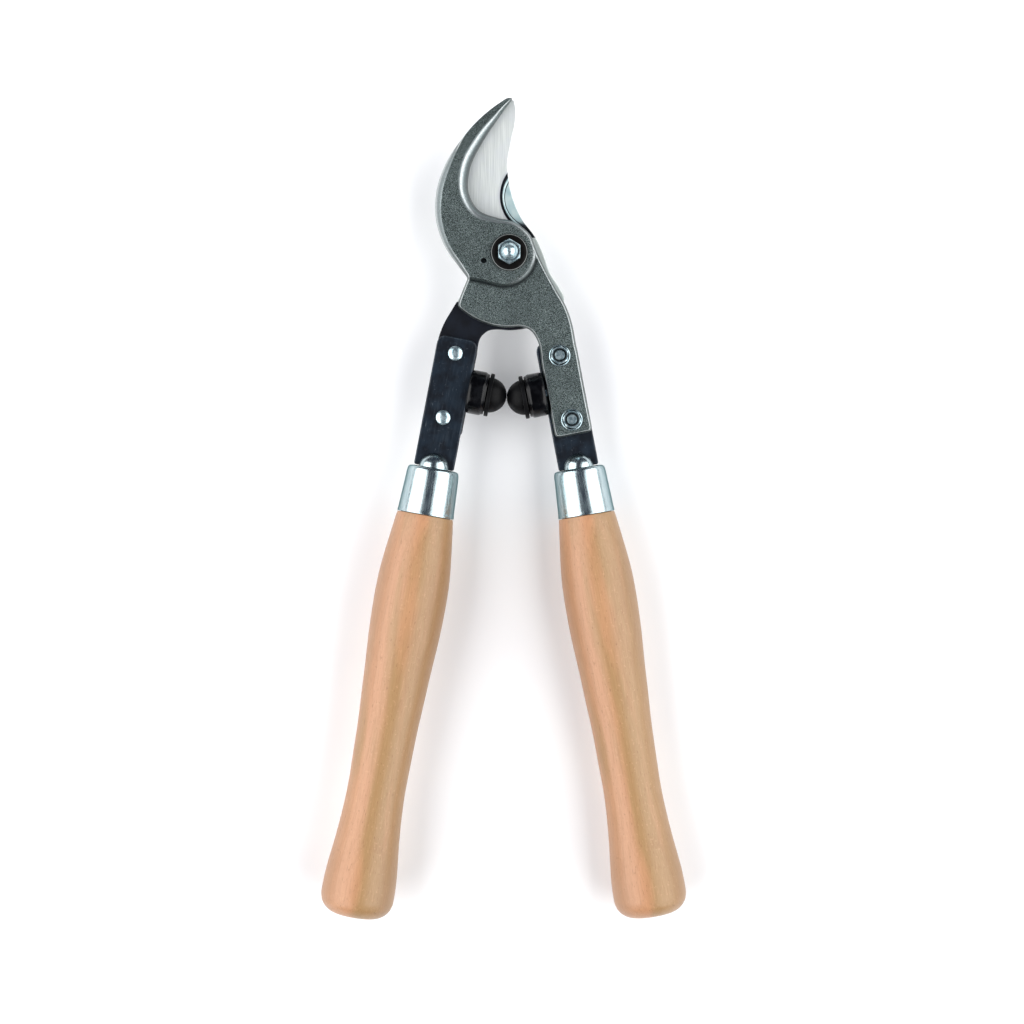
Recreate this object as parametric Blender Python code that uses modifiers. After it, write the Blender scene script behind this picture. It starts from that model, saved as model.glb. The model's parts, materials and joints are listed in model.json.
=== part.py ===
"""Two-handed bypass pruning shears, closed, lying face up.

+Z is out of the front face, +Y runs from the handles to the blade tip, and +X is to the right of the front.
The hook half (counter blade, right lever) carries the pivot bolt, and the blade half turns about that bolt.
Each sub-part is one named object. Sizes are in millimetres, and the helpers that make geometry turn them into
metres. Outlines are drawn in the pivot's frame, with the pivot axis at (0, 0) and the sliding plane at Z 0,
and in each lever's own frame, with +Y up its flat bar. A root empty then stands the whole tool on Z 0.
"""

import math

import bmesh
import bpy
from mathutils import Matrix, Vector

MM = 0.001

# Fits
GAP = 0.3  # between touching faces, and round every pin in its hole
SLIDE_GAP = 0.3  # between the two forgings, shared by the sliding plane

# Head
HOOK_THICKNESS = 8.0
HOOK_TIP_THICKNESS = 4.0
HOOK_TANG_THICKNESS = 5.0
BLADE_THICKNESS = 4.0
LOBE_RADIUS = 35.8  # lower edge of the hook forging, about the pivot
HUB_RADIUS = 36.8  # lower edge of the blade, about the pivot
BOSS_RADIUS = 14.6
BOSS_CENTRE = (-2.8, -0.5)
OIL_HOLE_DIAMETER = 2.7
OIL_HOLE_AT = (-12.3, -4.0)
EDGE_BEVEL_WIDTH = 7.0  # ground slope at the back of the cutting edge
EDGE_LAND = 0.5  # thickness left at the cutting edge

# Pivot
PIVOT_BOLT_DIAMETER = 6.0
PIVOT_NUT_FLATS = 10.6
PIVOT_NUT_HEIGHT = 5.0
PIVOT_DOME_DIAMETER = 8.3
PIVOT_HEAD_HEIGHT = 4.0
WASHER_DIAMETER = 18.0
WASHER_THICKNESS = 1.6

# Flat bars (the shanks) and their fasteners
BAR_WIDTH = 19.6
BAR_THICKNESS = 5.0
BAR_CORNER_RADIUS = 4.0
BAR_ABOVE_BOLT = 7.7  # from the upper bolt to the bar's top end
BOLT_PITCH = 31.6
BOLT_DIAMETER = 5.0
BOLT_HEAD_DIAMETER = 7.2
BOLT_HEAD_HEIGHT = 1.7
BOLT_PROUD = 0.5  # bolt end past its nut
NUT_FLATS = 8.0
NUT_FLANGE_DIAMETER = 10.4
NUT_FLANGE_THICKNESS = 1.1
NUT_HEIGHT = 4.6
HOOK_TANG_WIDTH = BAR_WIDTH - 1.6
BLADE_TANG_WIDTH = BAR_WIDTH + 0.2
TANG_BELOW_BOLT = 7.4  # from the lower bolt to the end of a forging's tang
GRIP_TANG_WIDTH = 9.0
GRIP_TANG_THICKNESS = 4.5
GRIP_TANG_LENGTH = 60.0

# Ferrules and handles
FERRULE_LENGTH = 23.0
FERRULE_TOP_DIAMETER = 25.5
FERRULE_BASE_DIAMETER = 27.7
FERRULE_WALL = 1.2
CROWN_RADIUS = 7.7
GRIP_LENGTH = 197.2
GRIP_SHOULDER_RADIUS = 13.8
GRIP_SWELL_RADIUS = 17.7
GRIP_WAIST_RADIUS = 14.2
GRIP_BUTT_RADIUS = 17.8
BUTT_CORNER_RADIUS = 9.5

# Stop buffers
BUFFER_BELOW_BOLT = 16.5  # from the upper bolt to the buffer's axis
BUFFER_SEAT_DIAMETER = 21.3
BUFFER_SEAT_LENGTH = 6.0
BUFFER_SEAT_POCKET = 4.0
BUFFER_PLUG_DIAMETER = 16.8
BUFFER_LIP_DIAMETER = 21.0
BUFFER_LIP_THICKNESS = 2.0
BUFFER_LIP_BEHIND = 0.9  # how far the lip's back is behind the middle of the dome's ball
BUFFER_DOME_RADIUS = 8.55
BUFFER_STUD_DIAMETER = 4.0
STUD_HEAD_DIAMETER = 7.6
STUD_HEAD_HEIGHT = 1.9
BUFFER_STUD_DEPTH = 7.0  # how far the stud goes into the bars' edge

# Levers: side is +1 on the right and -1 on the left, and origin is on the bar's middle line beside the upper
# bolt. bolt_x is the bolts' distance from that line, and ferrule is how far down the bar its shoulder is.
RIGHT_LEVER = {
    "side": 1,
    "origin": (23.6, -49.8),
    "tilt": 10.7,
    "grip_tilt": 9.45,
    "bolt_x": 0.8,
    "ferrule": 55.2,
}
LEFT_LEVER = {
    "side": -1,
    "origin": (-26.1, -48.6),
    "tilt": 10.8,
    "grip_tilt": 10.1,
    "bolt_x": 0.0,
    "ferrule": 56.5,
}
HOOK_TANG_INSET = -0.4  # the hook tang's middle from the bar's middle, towards the other lever
BLADE_TANG_INSET = 0.3  # the same for the blade tang

# Layers along Z, from the sliding plane
FRONT = SLIDE_GAP / 2
HOOK_TOP = FRONT + HOOK_THICKNESS
TANG_TOP = FRONT + HOOK_TANG_THICKNESS
BLADE_BACK = -FRONT - BLADE_THICKNESS
LEFT_BAR_MIDDLE = FRONT + BAR_THICKNESS / 2
RIGHT_BAR_MIDDLE = -LEFT_BAR_MIDDLE
LEFT_BAR_TOP = FRONT + BAR_THICKNESS
RIGHT_BAR_BACK = -LEFT_BAR_TOP

ROUND_SIDES = 28
SMALL_SIDES = 18

# The hook: outer side from the tip to the notch, then the inner edge from the boss back to the tip
HOOK_OUTER = (
    (1.7, 75.7),
    (-9.5, 69.9),
    (-22.1, 57.0),
    (-29.9, 45.7),
    (-35.2, 31.4),
    (-35.7, 17.1),
    (-31.4, 3.8),
    (-23.8, -7.1),
)
NOTCH = (-20.2, -11.8)
BOSS_STEP = ((-13.0, -12.9), (-6.0, -14.6))
HOOK_INNER = (
    (2.2, 15.5),
    (-6.1, 17.6),
    (-14.8, 21.2),
    (-19.5, 29.0),
    (-19.1, 41.2),
    (-13.0, 54.2),
    (-4.3, 67.2),
)
# The hook forging's right side, from the tang up to the end of the inner edge
HOOK_FLANK = (
    (31.5, -44.7),
    (30.2, -33.7),
    (28.0, -26.5),
    (22.4, -16.7),
    (15.8, -4.2),
    (12.9, 2.5),
    (10.6, 8.6),
    (6.5, 12.9),
)
# The hook forging's left side below the notch, and the corner of the throat between its lobe and its tang
HOOK_NECK = ((-17.5, -8.5), (-24.2, -21.8))
HOOK_THROAT = ((10.8, -37.6), (13.4, -41.6))
UNDER_BOSS = ((1.8, 15.1), (-4.0, 5.0))  # closes the plate inside the thicker hook
LOBE_ANGLES = (225, 278)
BOSS_ANGLES = (-78, 50)
# The blade: cutting edge from heel to tip, then the back from tip to hub
CUTTING_EDGE = (
    (-17.0, 9.0),
    (-21.0, 20.0),
    (-23.6, 32.0),
    (-22.4, 43.0),
    (-17.6, 53.0),
    (-10.0, 63.5),
)
BLADE_TIP = (1.4, 73.2)
BLADE_BACK_EDGE = (
    (3.2, 66.0),
    (1.0, 55.0),
    (-0.9, 42.5),
    (0.4, 31.5),
    (5.8, 17.3),
    (12.6, 8.1),
    (16.9, -1.2),
    (19.7, -9.1),
    (24.8, -17.4),
    (26.7, -21.4),
)
BLADE_THROAT = ((-10.0, -37.0), (-13.0, -39.2))
BLADE_SHOULDER = ((-31.6, -33.4), (-27.4, -26.2), (-20.0, -13.0), (-16.5, -1.0))
HUB_ANGLES = (314, 262)
SLOPE_RUN_OUT = (-24.0, 7.0)  # where the ground slope leaves the heel
SLOPE_PAST_TIP = (7.0, 6.5)  # how far past the tip the slope's sweep goes on


# ---------------------------------------------------------------- helpers


def clear_scene():
    for obj in list(bpy.data.objects):
        bpy.data.objects.remove(obj, do_unlink=True)


def new_collection(name):
    made = bpy.data.collections.new(name)
    bpy.context.scene.collection.children.link(made)
    return made


def linear(channel):
    """One sRGB channel as linear light."""
    return channel / 12.92 if channel <= 0.04045 else ((channel + 0.055) / 1.055) ** 2.4


def material(name, colour, metallic, roughness):
    made = bpy.data.materials.new(name)
    made.use_nodes = True
    shader = made.node_tree.nodes["Principled BSDF"]
    rgb = [linear(int(colour[i : i + 2], 16) / 255) for i in (0, 2, 4)]
    shader.inputs["Base Color"].default_value = (*rgb, 1.0)
    shader.inputs["Metallic"].default_value = metallic
    shader.inputs["Roughness"].default_value = roughness
    made.diffuse_color = (*rgb, 1.0)
    return made


def empty(name, parent, place=(0, 0, 0), turn=0.0):
    """An empty at place (mm) in its parent's frame, turned about Z (degrees)."""
    made = bpy.data.objects.new(name, None)
    parts.objects.link(made)
    made.parent = parent
    made.location = Vector(place) * MM
    made.rotation_euler = (0, 0, math.radians(turn))
    made.empty_display_size = 0.01
    return made


def to_object(name, mesh, collection):
    made = bpy.data.objects.new(name, mesh)
    collection.objects.link(made)
    return made


def weld(mesh):
    shape = bmesh.new()
    shape.from_mesh(mesh)
    bmesh.ops.remove_doubles(shape, verts=shape.verts, dist=1e-6)
    bmesh.ops.recalc_face_normals(shape, faces=shape.faces)
    shape.to_mesh(mesh)
    shape.free()


def cylinder(name, diameter, bottom, top, sides=ROUND_SIDES, collection=None):
    """A closed cylinder or prism along Z between two heights."""
    mesh = bpy.data.meshes.new(name)
    shape = bmesh.new()
    bmesh.ops.create_cone(
        shape,
        cap_ends=True,
        segments=sides,
        radius1=diameter / 2 * MM,
        radius2=diameter / 2 * MM,
        depth=(top - bottom) * MM,
        matrix=Matrix.Translation((0, 0, (top + bottom) / 2 * MM)),
    )
    shape.to_mesh(mesh)
    shape.free()
    return to_object(name, mesh, collection or parts)


def box(name, low, high, collection=None):
    """A box between two corners (mm)."""
    mesh = bpy.data.meshes.new(name)
    shape = bmesh.new()
    low, high = Vector(low), Vector(high)
    size = Matrix.Diagonal(((high - low) * MM).to_4d())
    size[3][3] = 1
    bmesh.ops.create_cube(shape, size=1, matrix=Matrix.Translation((low + high) / 2 * MM) @ size)
    shape.to_mesh(mesh)
    shape.free()
    return to_object(name, mesh, collection or parts)


def turned(name, profile, sides=ROUND_SIDES, collection=None):
    """A solid turned about Z from (radius, height) pairs that run from the top down the outer side."""
    mesh = bpy.data.meshes.new(name)
    points = [(radius * MM, 0, height * MM) for radius, height in profile]
    closed = profile[0] == profile[-1]
    if closed:
        points.pop()
    edges = [(i, i + 1) for i in range(len(points) - 1)]
    if closed:
        edges.append((len(points) - 1, 0))
    mesh.from_pydata(points, edges, [])
    made = to_object(name, mesh, collection or parts)
    screw = made.modifiers.new("Turned", "SCREW")
    screw.steps = sides
    screw.render_steps = sides
    screw.use_merge_vertices = True
    screw.merge_threshold = 0.00001
    screw.use_smooth_shade = True
    return made


def slab(name, outline, bottom, top, edge_break=0.0, smoothness=4, collection=None):
    """A plate between two heights, from (x, y, corner) points: smooth wherever corner is False."""
    curve = bpy.data.curves.new(name, "CURVE")
    curve.dimensions = "2D"
    curve.fill_mode = "BOTH"
    curve.resolution_u = smoothness
    curve.extrude = (top - bottom) / 2 * MM - edge_break * MM
    curve.bevel_depth = edge_break * MM
    curve.bevel_resolution = 0
    curve.offset = -edge_break * MM
    spline = curve.splines.new("BEZIER")
    spline.bezier_points.add(len(outline) - 1)
    spline.use_cyclic_u = True
    for point, (x, y, corner) in zip(spline.bezier_points, outline):
        point.co = (x * MM, y * MM, 0)
        kind = "VECTOR" if corner else "AUTO"
        point.handle_left_type = kind
        point.handle_right_type = kind
    drawn = to_object(name + "_curve", curve, parts)
    graph = bpy.context.evaluated_depsgraph_get()
    mesh = bpy.data.meshes.new_from_object(drawn.evaluated_get(graph))
    mesh.name = name
    bpy.data.objects.remove(drawn, do_unlink=True)
    mesh.transform(Matrix.Translation((0, 0, (top + bottom) / 2 * MM)))
    weld(mesh)
    return to_object(name, mesh, collection or parts)


def edge_wedge(name, path, width, land, thickness):
    """The cutter of a ground slope along an edge: a triangle swept along the path, deepest at the path."""
    over = 1.0  # how far it reaches past the edge and the back
    low = -thickness - over
    slope = (thickness - land) / width
    section = bpy.data.curves.new(name + "_section", "CURVE")
    section.dimensions = "2D"
    corners = ((-over, -land + slope * over), (width + over / slope, low), (-over, low))
    spline = section.splines.new("POLY")
    spline.points.add(len(corners) - 1)
    spline.use_cyclic_u = True
    for point, (across, height) in zip(spline.points, corners):
        point.co = (across * MM, height * MM, 0, 1)
    profile = to_object(name + "_profile", section, cutters)
    profile.hide_render = True
    curve = bpy.data.curves.new(name, "CURVE")
    curve.dimensions = "2D"
    curve.resolution_u = 5
    curve.bevel_mode = "OBJECT"
    curve.bevel_object = profile
    curve.use_fill_caps = True
    spline = curve.splines.new("BEZIER")
    spline.bezier_points.add(len(path) - 1)
    for point, (x, y) in zip(spline.bezier_points, path):
        point.co = (x * MM, y * MM, 0)
        point.handle_left_type = "AUTO"
        point.handle_right_type = "AUTO"
    drawn = to_object(name + "_curve", curve, cutters)
    graph = bpy.context.evaluated_depsgraph_get()
    mesh = bpy.data.meshes.new_from_object(drawn.evaluated_get(graph))
    mesh.name = name
    bpy.data.objects.remove(drawn, do_unlink=True)
    bpy.data.objects.remove(profile, do_unlink=True)
    mesh.transform(Matrix.Translation((0, 0, -FRONT * MM)))
    weld(mesh)
    return to_object(name, mesh, cutters)


def boolean(target, other, operation):
    step = target.modifiers.new(other.name, "BOOLEAN")
    step.operation = operation
    step.object = other
    step.solver = "EXACT"


def hide(helper):
    helper.hide_render = True
    helper.display_type = "WIRE"


def cut(target, cutter):
    boolean(target, cutter, "DIFFERENCE")
    hide(cutter)


def join(target, other):
    boolean(target, other, "UNION")
    hide(other)


def put(obj, parent, finish=None, place=(0, 0, 0), turn=(0, 0, 0)):
    """Parents an object at a place (mm) and a turn (degrees), and gives it its material."""
    obj.parent = parent
    obj.location = Vector(place) * MM
    obj.rotation_euler = [math.radians(angle) for angle in turn]
    if finish:
        obj.data.materials.clear()
        obj.data.materials.append(finish)
    return obj


def arc(centre, radius, start, end, count):
    """Points of a circular arc between two angles (degrees), both ends included."""
    found = []
    for i in range(count):
        angle = math.radians(start + (end - start) * i / (count - 1))
        found.append((centre[0] + radius * math.cos(angle), centre[1] + radius * math.sin(angle)))
    return found


def smooth(points):
    return [(x, y, False) for x, y in points]


def corners(points):
    return [(x, y, True) for x, y in points]


def lever_point(lever, x, y):
    """A point of a lever's own frame in the pivot's frame. There x grows away from the other lever."""
    turn = math.radians(lever["side"] * lever["tilt"])
    across = lever["side"] * x
    return (
        lever["origin"][0] + across * math.cos(turn) - y * math.sin(turn),
        lever["origin"][1] + across * math.sin(turn) + y * math.cos(turn),
    )


def tang_outline(lever, width, inset, reach_in, reach_out):
    """A forging's tang from its inner edge round its end to its outer edge, in the pivot's frame."""
    inner = -width / 2 - inset
    outer = width / 2 - inset
    end = -BOLT_PITCH - TANG_BELOW_BOLT
    corner = 2.0
    return [
        (*lever_point(lever, inner, reach_in), False),
        (*lever_point(lever, inner, end + corner), True),
        (*lever_point(lever, inner + corner, end), True),
        (*lever_point(lever, outer - corner, end), True),
        (*lever_point(lever, outer, end + corner), True),
        (*lever_point(lever, outer, reach_out), False),
    ]


# ---------------------------------------------------------------- forgings


def hook_forging():
    """The counter blade: a thick hook and boss, joined to the thinner plate of the lobe and tang.

    Both are drawn past the sliding plane, and their backs are then planed off together.
    """
    boss = arc(BOSS_CENTRE, BOSS_RADIUS, *BOSS_ANGLES, 7)
    hook = slab(
        "hook_forging",
        corners(HOOK_OUTER[:1])
        + smooth(HOOK_OUTER[1:])
        + corners([NOTCH])
        + smooth(BOSS_STEP)
        + smooth(boss)
        + smooth(HOOK_INNER),
        FRONT - 1.5,
        HOOK_TOP,
    )
    lobe = arc((0, 0), LOBE_RADIUS, *LOBE_ANGLES, 7)
    plate = slab(
        "hook_plate",
        corners([*HOOK_NECK, lobe[0]])
        + smooth(lobe[1:])
        + smooth(HOOK_THROAT)
        + tang_outline(RIGHT_LEVER, HOOK_TANG_WIDTH, HOOK_TANG_INSET, -4.0, 0.0)
        + smooth(HOOK_FLANK[:-2])
        + corners(HOOK_FLANK[-2:])
        + corners(UNDER_BOSS),
        FRONT - 1.0,
        TANG_TOP,
        collection=cutters,
    )
    join(hook, plate)
    cut(hook, box("hook_back_plane", (-100, -150, -5), (100, 100, FRONT), cutters))
    tip = HOOK_OUTER[0][1]
    taper_start = HOOK_INNER[3][1]
    fall = math.atan2(HOOK_THICKNESS - HOOK_TIP_THICKNESS, tip - taper_start)
    taper = box("hook_taper", (-60, 0, 0), (30, 2 * tip, 10), cutters)
    put(taper, None, place=(0, taper_start, HOOK_TOP), turn=(-math.degrees(fall), 0, 0))
    cut(hook, taper)
    bore = PIVOT_BOLT_DIAMETER + 2 * GAP
    cut(hook, cylinder("hook_pivot_hole", bore, -1, HOOK_TOP + 1, collection=cutters))
    oil = cylinder("oil_hole", OIL_HOLE_DIAMETER, -1, HOOK_TOP + 1, SMALL_SIDES, collection=cutters)
    put(oil, None, place=(*OIL_HOLE_AT, 0))
    cut(hook, oil)
    put(hook, hook_half, forged)
    return hook


def cutting_blade():
    """The blade, its hub and its tang: one plate, ground to an edge at the back of its left side."""
    hub = arc((0, 0), HUB_RADIUS, *HUB_ANGLES, 7)
    tang = tang_outline(LEFT_LEVER, BLADE_TANG_WIDTH, BLADE_TANG_INSET, 0.0, 7.0)
    blade = slab(
        "cutting_blade",
        corners([BLADE_TIP])
        + smooth(BLADE_BACK_EDGE)
        + corners(hub[:1])
        + smooth(hub[1:])
        + smooth(BLADE_THROAT)
        + tang
        + smooth(BLADE_SHOULDER)
        + smooth(CUTTING_EDGE),
        BLADE_BACK,
        -FRONT,
    )
    past_tip = (BLADE_TIP[0] + SLOPE_PAST_TIP[0], BLADE_TIP[1] + SLOPE_PAST_TIP[1])
    wedge_path = (SLOPE_RUN_OUT, *CUTTING_EDGE[1:], BLADE_TIP, past_tip)
    wedge = edge_wedge("edge_slope", wedge_path, EDGE_BEVEL_WIDTH, EDGE_LAND, BLADE_THICKNESS)
    put(wedge, blade_half)
    cut(blade, wedge)
    hole = cylinder("blade_pivot_hole", PIVOT_BOLT_DIAMETER + 2 * GAP, BLADE_BACK - 1, 1, collection=cutters)
    cut(blade, hole)
    put(blade, blade_half, ground)
    return blade


# ---------------------------------------------------------------- pivot


def pivot():
    """Bolt from the back, flat washer under its head, dished washer and dome nut on the front."""
    washer_bottom = HOOK_TOP + GAP
    washer_top = washer_bottom + WASHER_THICKNESS
    bore = PIVOT_BOLT_DIAMETER / 2 + GAP
    rim = WASHER_DIAMETER / 2
    dished = [
        (bore, washer_top),
        (rim - 1.5, washer_top - 0.1),
        (rim, washer_top - 0.7),
        (rim, washer_bottom),
        (bore, washer_bottom),
        (bore, washer_top),
    ]
    put(turned("pivot_spring_washer", dished), hook_half, dark)

    nut_bottom = washer_top + GAP
    nut_top = nut_bottom + PIVOT_NUT_HEIGHT
    corner_diameter = PIVOT_NUT_FLATS / math.cos(math.pi / 6)
    nut = cylinder("pivot_nut", corner_diameter, nut_bottom, nut_top, 6)
    dome = turned(
        "pivot_nut_dome",
        [
            (PIVOT_DOME_DIAMETER / 2 * math.sin(angle), nut_top + PIVOT_DOME_DIAMETER / 2 * math.cos(angle))
            for angle in (math.pi / 2 * i / 5 for i in range(6))
        ]
        + [(PIVOT_DOME_DIAMETER / 2, nut_top - 1), (0, nut_top - 1)],
        SMALL_SIDES,
        cutters,
    )
    join(nut, dome)
    cut(nut, cylinder("pivot_nut_bore", 2 * bore, nut_bottom - 1, nut_top, SMALL_SIDES, collection=cutters))
    put(nut, hook_half, zinc)

    back_top = BLADE_BACK - GAP
    back_bottom = back_top - WASHER_THICKNESS
    flat = [(bore, back_top), (rim, back_top), (rim, back_bottom), (bore, back_bottom), (bore, back_top)]
    put(turned("pivot_back_washer", flat), hook_half, dark)

    head_top = back_bottom - GAP
    head = cylinder("pivot_bolt", corner_diameter, head_top - PIVOT_HEAD_HEIGHT, head_top, 6)
    end = nut_top - GAP - 0.5
    root = head_top - 1
    stem = cylinder("pivot_bolt_stem", PIVOT_BOLT_DIAMETER, root, end, SMALL_SIDES, collection=cutters)
    join(head, stem)
    put(head, hook_half, zinc)


# ---------------------------------------------------------------- levers


def shank(name, lever, frame, grip, middle):
    """A flat bar in its lever's frame: a square shoulder seats on the ferrule, and a narrow tang goes on."""
    half = BAR_WIDTH / 2
    round_ = BAR_CORNER_RADIUS
    shoulder = -lever["ferrule"] + GAP
    top_left = arc((-half + round_, BAR_ABOVE_BOLT - round_), round_, 180, 90, 4)
    top_right = arc((half - round_, BAR_ABOVE_BOLT - round_), round_, 90, 0, 4)
    outline = corners(top_left + top_right + [(half, shoulder), (-half, shoulder)])
    bar = slab(name, outline, -BAR_THICKNESS / 2, BAR_THICKNESS / 2, smoothness=1)
    put(bar, frame, blackened, place=(0, 0, middle))
    across, deep = GRIP_TANG_WIDTH / 2, GRIP_TANG_THICKNESS / 2
    tang = box(f"{name}_tang", (-across, -deep, -GRIP_TANG_LENGTH), (across, deep, 3.0), cutters)
    put(tang, grip)
    join(bar, tang)
    return bar


def tang_bolt(name, frame, place, head_side, stack_front, stack_back, finish):
    """A round-headed bolt and its flange nut through a stack. head_side is +1 with the head on the front."""
    head_face = (stack_front if head_side > 0 else stack_back) + head_side * GAP
    nut_face = (stack_back if head_side > 0 else stack_front) - head_side * GAP
    radius = BOLT_HEAD_DIAMETER / 2
    thread = BOLT_DIAMETER / 2
    rim = 0.5
    dome = BOLT_HEAD_HEIGHT - rim
    end = abs(head_face - nut_face) + NUT_HEIGHT + BOLT_PROUD
    angles = [math.pi / 2 * i / 4 for i in range(5)]
    profile = [(radius * math.sin(angle), rim + dome * math.cos(angle)) for angle in angles]
    profile += [(radius, 0), (thread, 0), (thread, 0.4 - end), (thread - 0.4, -end), (0, -end)]
    lever_name, tag = name
    bolt = turned(f"{lever_name}_bolt_{tag}", profile, SMALL_SIDES)
    flip = 0 if head_side > 0 else 180
    put(bolt, frame, finish, place=(*place, head_face), turn=(flip, 0, 0))

    corner_diameter = NUT_FLATS / math.cos(math.pi / 6)
    nut = cylinder(f"{lever_name}_nut_{tag}", corner_diameter, NUT_FLANGE_THICKNESS / 2, NUT_HEIGHT, 6)
    flange = turned(
        f"{lever_name}_flange_{tag}",
        [
            (0, NUT_FLANGE_THICKNESS),
            (NUT_FLATS / 2, NUT_FLANGE_THICKNESS),
            (NUT_FLANGE_DIAMETER / 2, NUT_FLANGE_THICKNESS / 2),
            (NUT_FLANGE_DIAMETER / 2, 0),
            (0, 0),
        ],
        SMALL_SIDES,
        cutters,
    )
    hole = BOLT_DIAMETER + 2 * GAP
    bore = cylinder(f"{lever_name}_bore_{tag}", hole, -1, NUT_HEIGHT + 1, SMALL_SIDES, collection=cutters)
    join(nut, flange)
    cut(nut, bore)
    for piece in (nut, flange, bore):
        put(piece, frame, place=(*place, nut_face), turn=(180 - flip, 0, 0))
    nut.data.materials.append(finish)


def bolt_holes(lever, frame, name, targets):
    """One clearance hole for each tang bolt, cut from every plate of the stack."""
    for tag, y in (("upper", 0), ("lower", -BOLT_PITCH)):
        size = BOLT_DIAMETER + 2 * GAP
        hole = cylinder(f"{name}_hole_{tag}", size, -30, 30, SMALL_SIDES, collection=cutters)
        put(hole, frame, place=(lever["bolt_x"], y, 0))
        for target in targets:
            cut(target, hole)


def stud_channel(lever, frame, name, targets):
    """The hole for the buffer's stud, drilled into the edge where the bar and the forging's tang meet."""
    depth = BUFFER_STUD_DEPTH + GAP
    inner = BAR_WIDTH / 2
    hole = cylinder(
        f"{name}_stud_hole", BUFFER_STUD_DIAMETER + 2 * GAP, -depth, 5, SMALL_SIDES, collection=cutters
    )
    put(hole, frame, place=(-lever["side"] * inner, -BUFFER_BELOW_BOLT, 0), turn=(0, -lever["side"] * 90, 0))
    for target in targets:
        cut(target, hole)


def ferrule(name, grip):
    """A plated cap with a domed crown. Its frame has +Z up the handle and the flat crown at Z 0."""
    top = FERRULE_TOP_DIAMETER / 2
    base = FERRULE_BASE_DIAMETER / 2
    edge = 2.0
    angles = [math.pi / 2 * i / 6 for i in range(7)]
    dome = [(CROWN_RADIUS * math.sin(angle), CROWN_RADIUS * math.cos(angle)) for angle in angles]
    shell = turned(
        name,
        dome
        + [(top - edge, 0), (top - 0.6, -0.6), (top, -edge)]
        + [(base, -FERRULE_LENGTH), (base - FERRULE_WALL, -FERRULE_LENGTH)]
        + [(top - FERRULE_WALL, -edge), (top - FERRULE_WALL - 0.3, -FERRULE_WALL), (0, -FERRULE_WALL)],
    )
    slot_depth = BAR_THICKNESS / 2 + GAP
    wide = BAR_WIDTH / 2 + GAP
    narrow = GRIP_TANG_WIDTH / 2 + GAP
    saw = box(f"{name}_crown_slot", (-wide, -slot_depth, 0.0), (wide, slot_depth, CROWN_RADIUS + 1), cutters)
    slot = box(f"{name}_tang_slot", (-narrow, -slot_depth, -4), (narrow, slot_depth, 1), cutters)
    for cutter in (saw, slot):
        put(cutter, grip)
        cut(shell, cutter)
    put(shell, grip, plated)


def grip_radius(share):
    """The handle's radius at a share of its length, smooth through shoulder, swell, waist and butt."""
    stations = (
        (0.0, GRIP_SHOULDER_RADIUS),
        (0.218, GRIP_SWELL_RADIUS),
        (0.66, GRIP_WAIST_RADIUS),
        (0.948, GRIP_BUTT_RADIUS),
        (1.0, GRIP_BUTT_RADIUS),
    )
    sharpness = {0: 1.55, 1: 0.85, 2: 1.25, 3: 1.0}
    for i in range(len(stations) - 1):
        (start, low), (end, high) = stations[i], stations[i + 1]
        if share <= end:
            along = ((share - start) / (end - start)) ** sharpness[i]
            if i == 0:
                return low + (high - low) * math.sin(math.pi / 2 * ((share - start) / (end - start)))
            return low + (high - low) * (1 - math.cos(math.pi * along)) / 2
    return stations[-1][1]


def handle(name, grip):
    """The turned beech grip, with its neck inside the ferrule and a slot for the bar's tang."""
    neck_top = -FERRULE_WALL - GAP
    neck_radius = FERRULE_TOP_DIAMETER / 2 - FERRULE_WALL - 0.3 - GAP
    foot_radius = FERRULE_BASE_DIAMETER / 2 - FERRULE_WALL - GAP
    start = -FERRULE_LENGTH - GAP
    end = start - GRIP_LENGTH
    corner = BUTT_CORNER_RADIUS
    body = GRIP_LENGTH - corner
    profile = [(0, neck_top), (neck_radius - 0.5, neck_top), (neck_radius - 0.2, neck_top - 1.5)]
    profile.append((foot_radius, start))
    for i in range(17):
        share = body / GRIP_LENGTH * i / 16
        profile.append((grip_radius(share), start - share * GRIP_LENGTH))
    centre = profile[-1][0] - corner
    for i in range(1, 6):
        angle = math.pi / 2 * i / 5
        profile.append((centre + corner * math.cos(angle), end + corner - corner * math.sin(angle)))
    profile.append((0, end))
    wood = turned(name, profile)
    narrow = GRIP_TANG_WIDTH / 2 + GAP
    half = BAR_THICKNESS / 2 + GAP
    slot = box(f"{name}_slot", (-narrow, -half, -GRIP_TANG_LENGTH - GAP), (narrow, half, 1), cutters)
    put(slot, grip)
    cut(wood, slot)
    put(wood, grip, beech)


def buffer_reach(lever):
    """How far along its own axis the centre of a buffer's dome is from the lever's middle line.

    The two domes meet with GAP between them: each centre is half of that distance from the plane half way.
    """
    gap = 2 * BUFFER_DOME_RADIUS + GAP
    right = Vector(lever_point(RIGHT_LEVER, 0, -BUFFER_BELOW_BOLT))
    left = Vector(lever_point(LEFT_LEVER, 0, -BUFFER_BELOW_BOLT))
    right_way = Vector(lever_point(RIGHT_LEVER, -1, -BUFFER_BELOW_BOLT)) - right
    left_way = Vector(lever_point(LEFT_LEVER, -1, -BUFFER_BELOW_BOLT)) - left
    low, high = 0.0, 60.0
    for _ in range(50):
        middle = (low + high) / 2
        apart = (right + right_way * middle) - (left + left_way * middle)
        if apart.length > gap:
            low = middle
        else:
            high = middle
    return low


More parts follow.
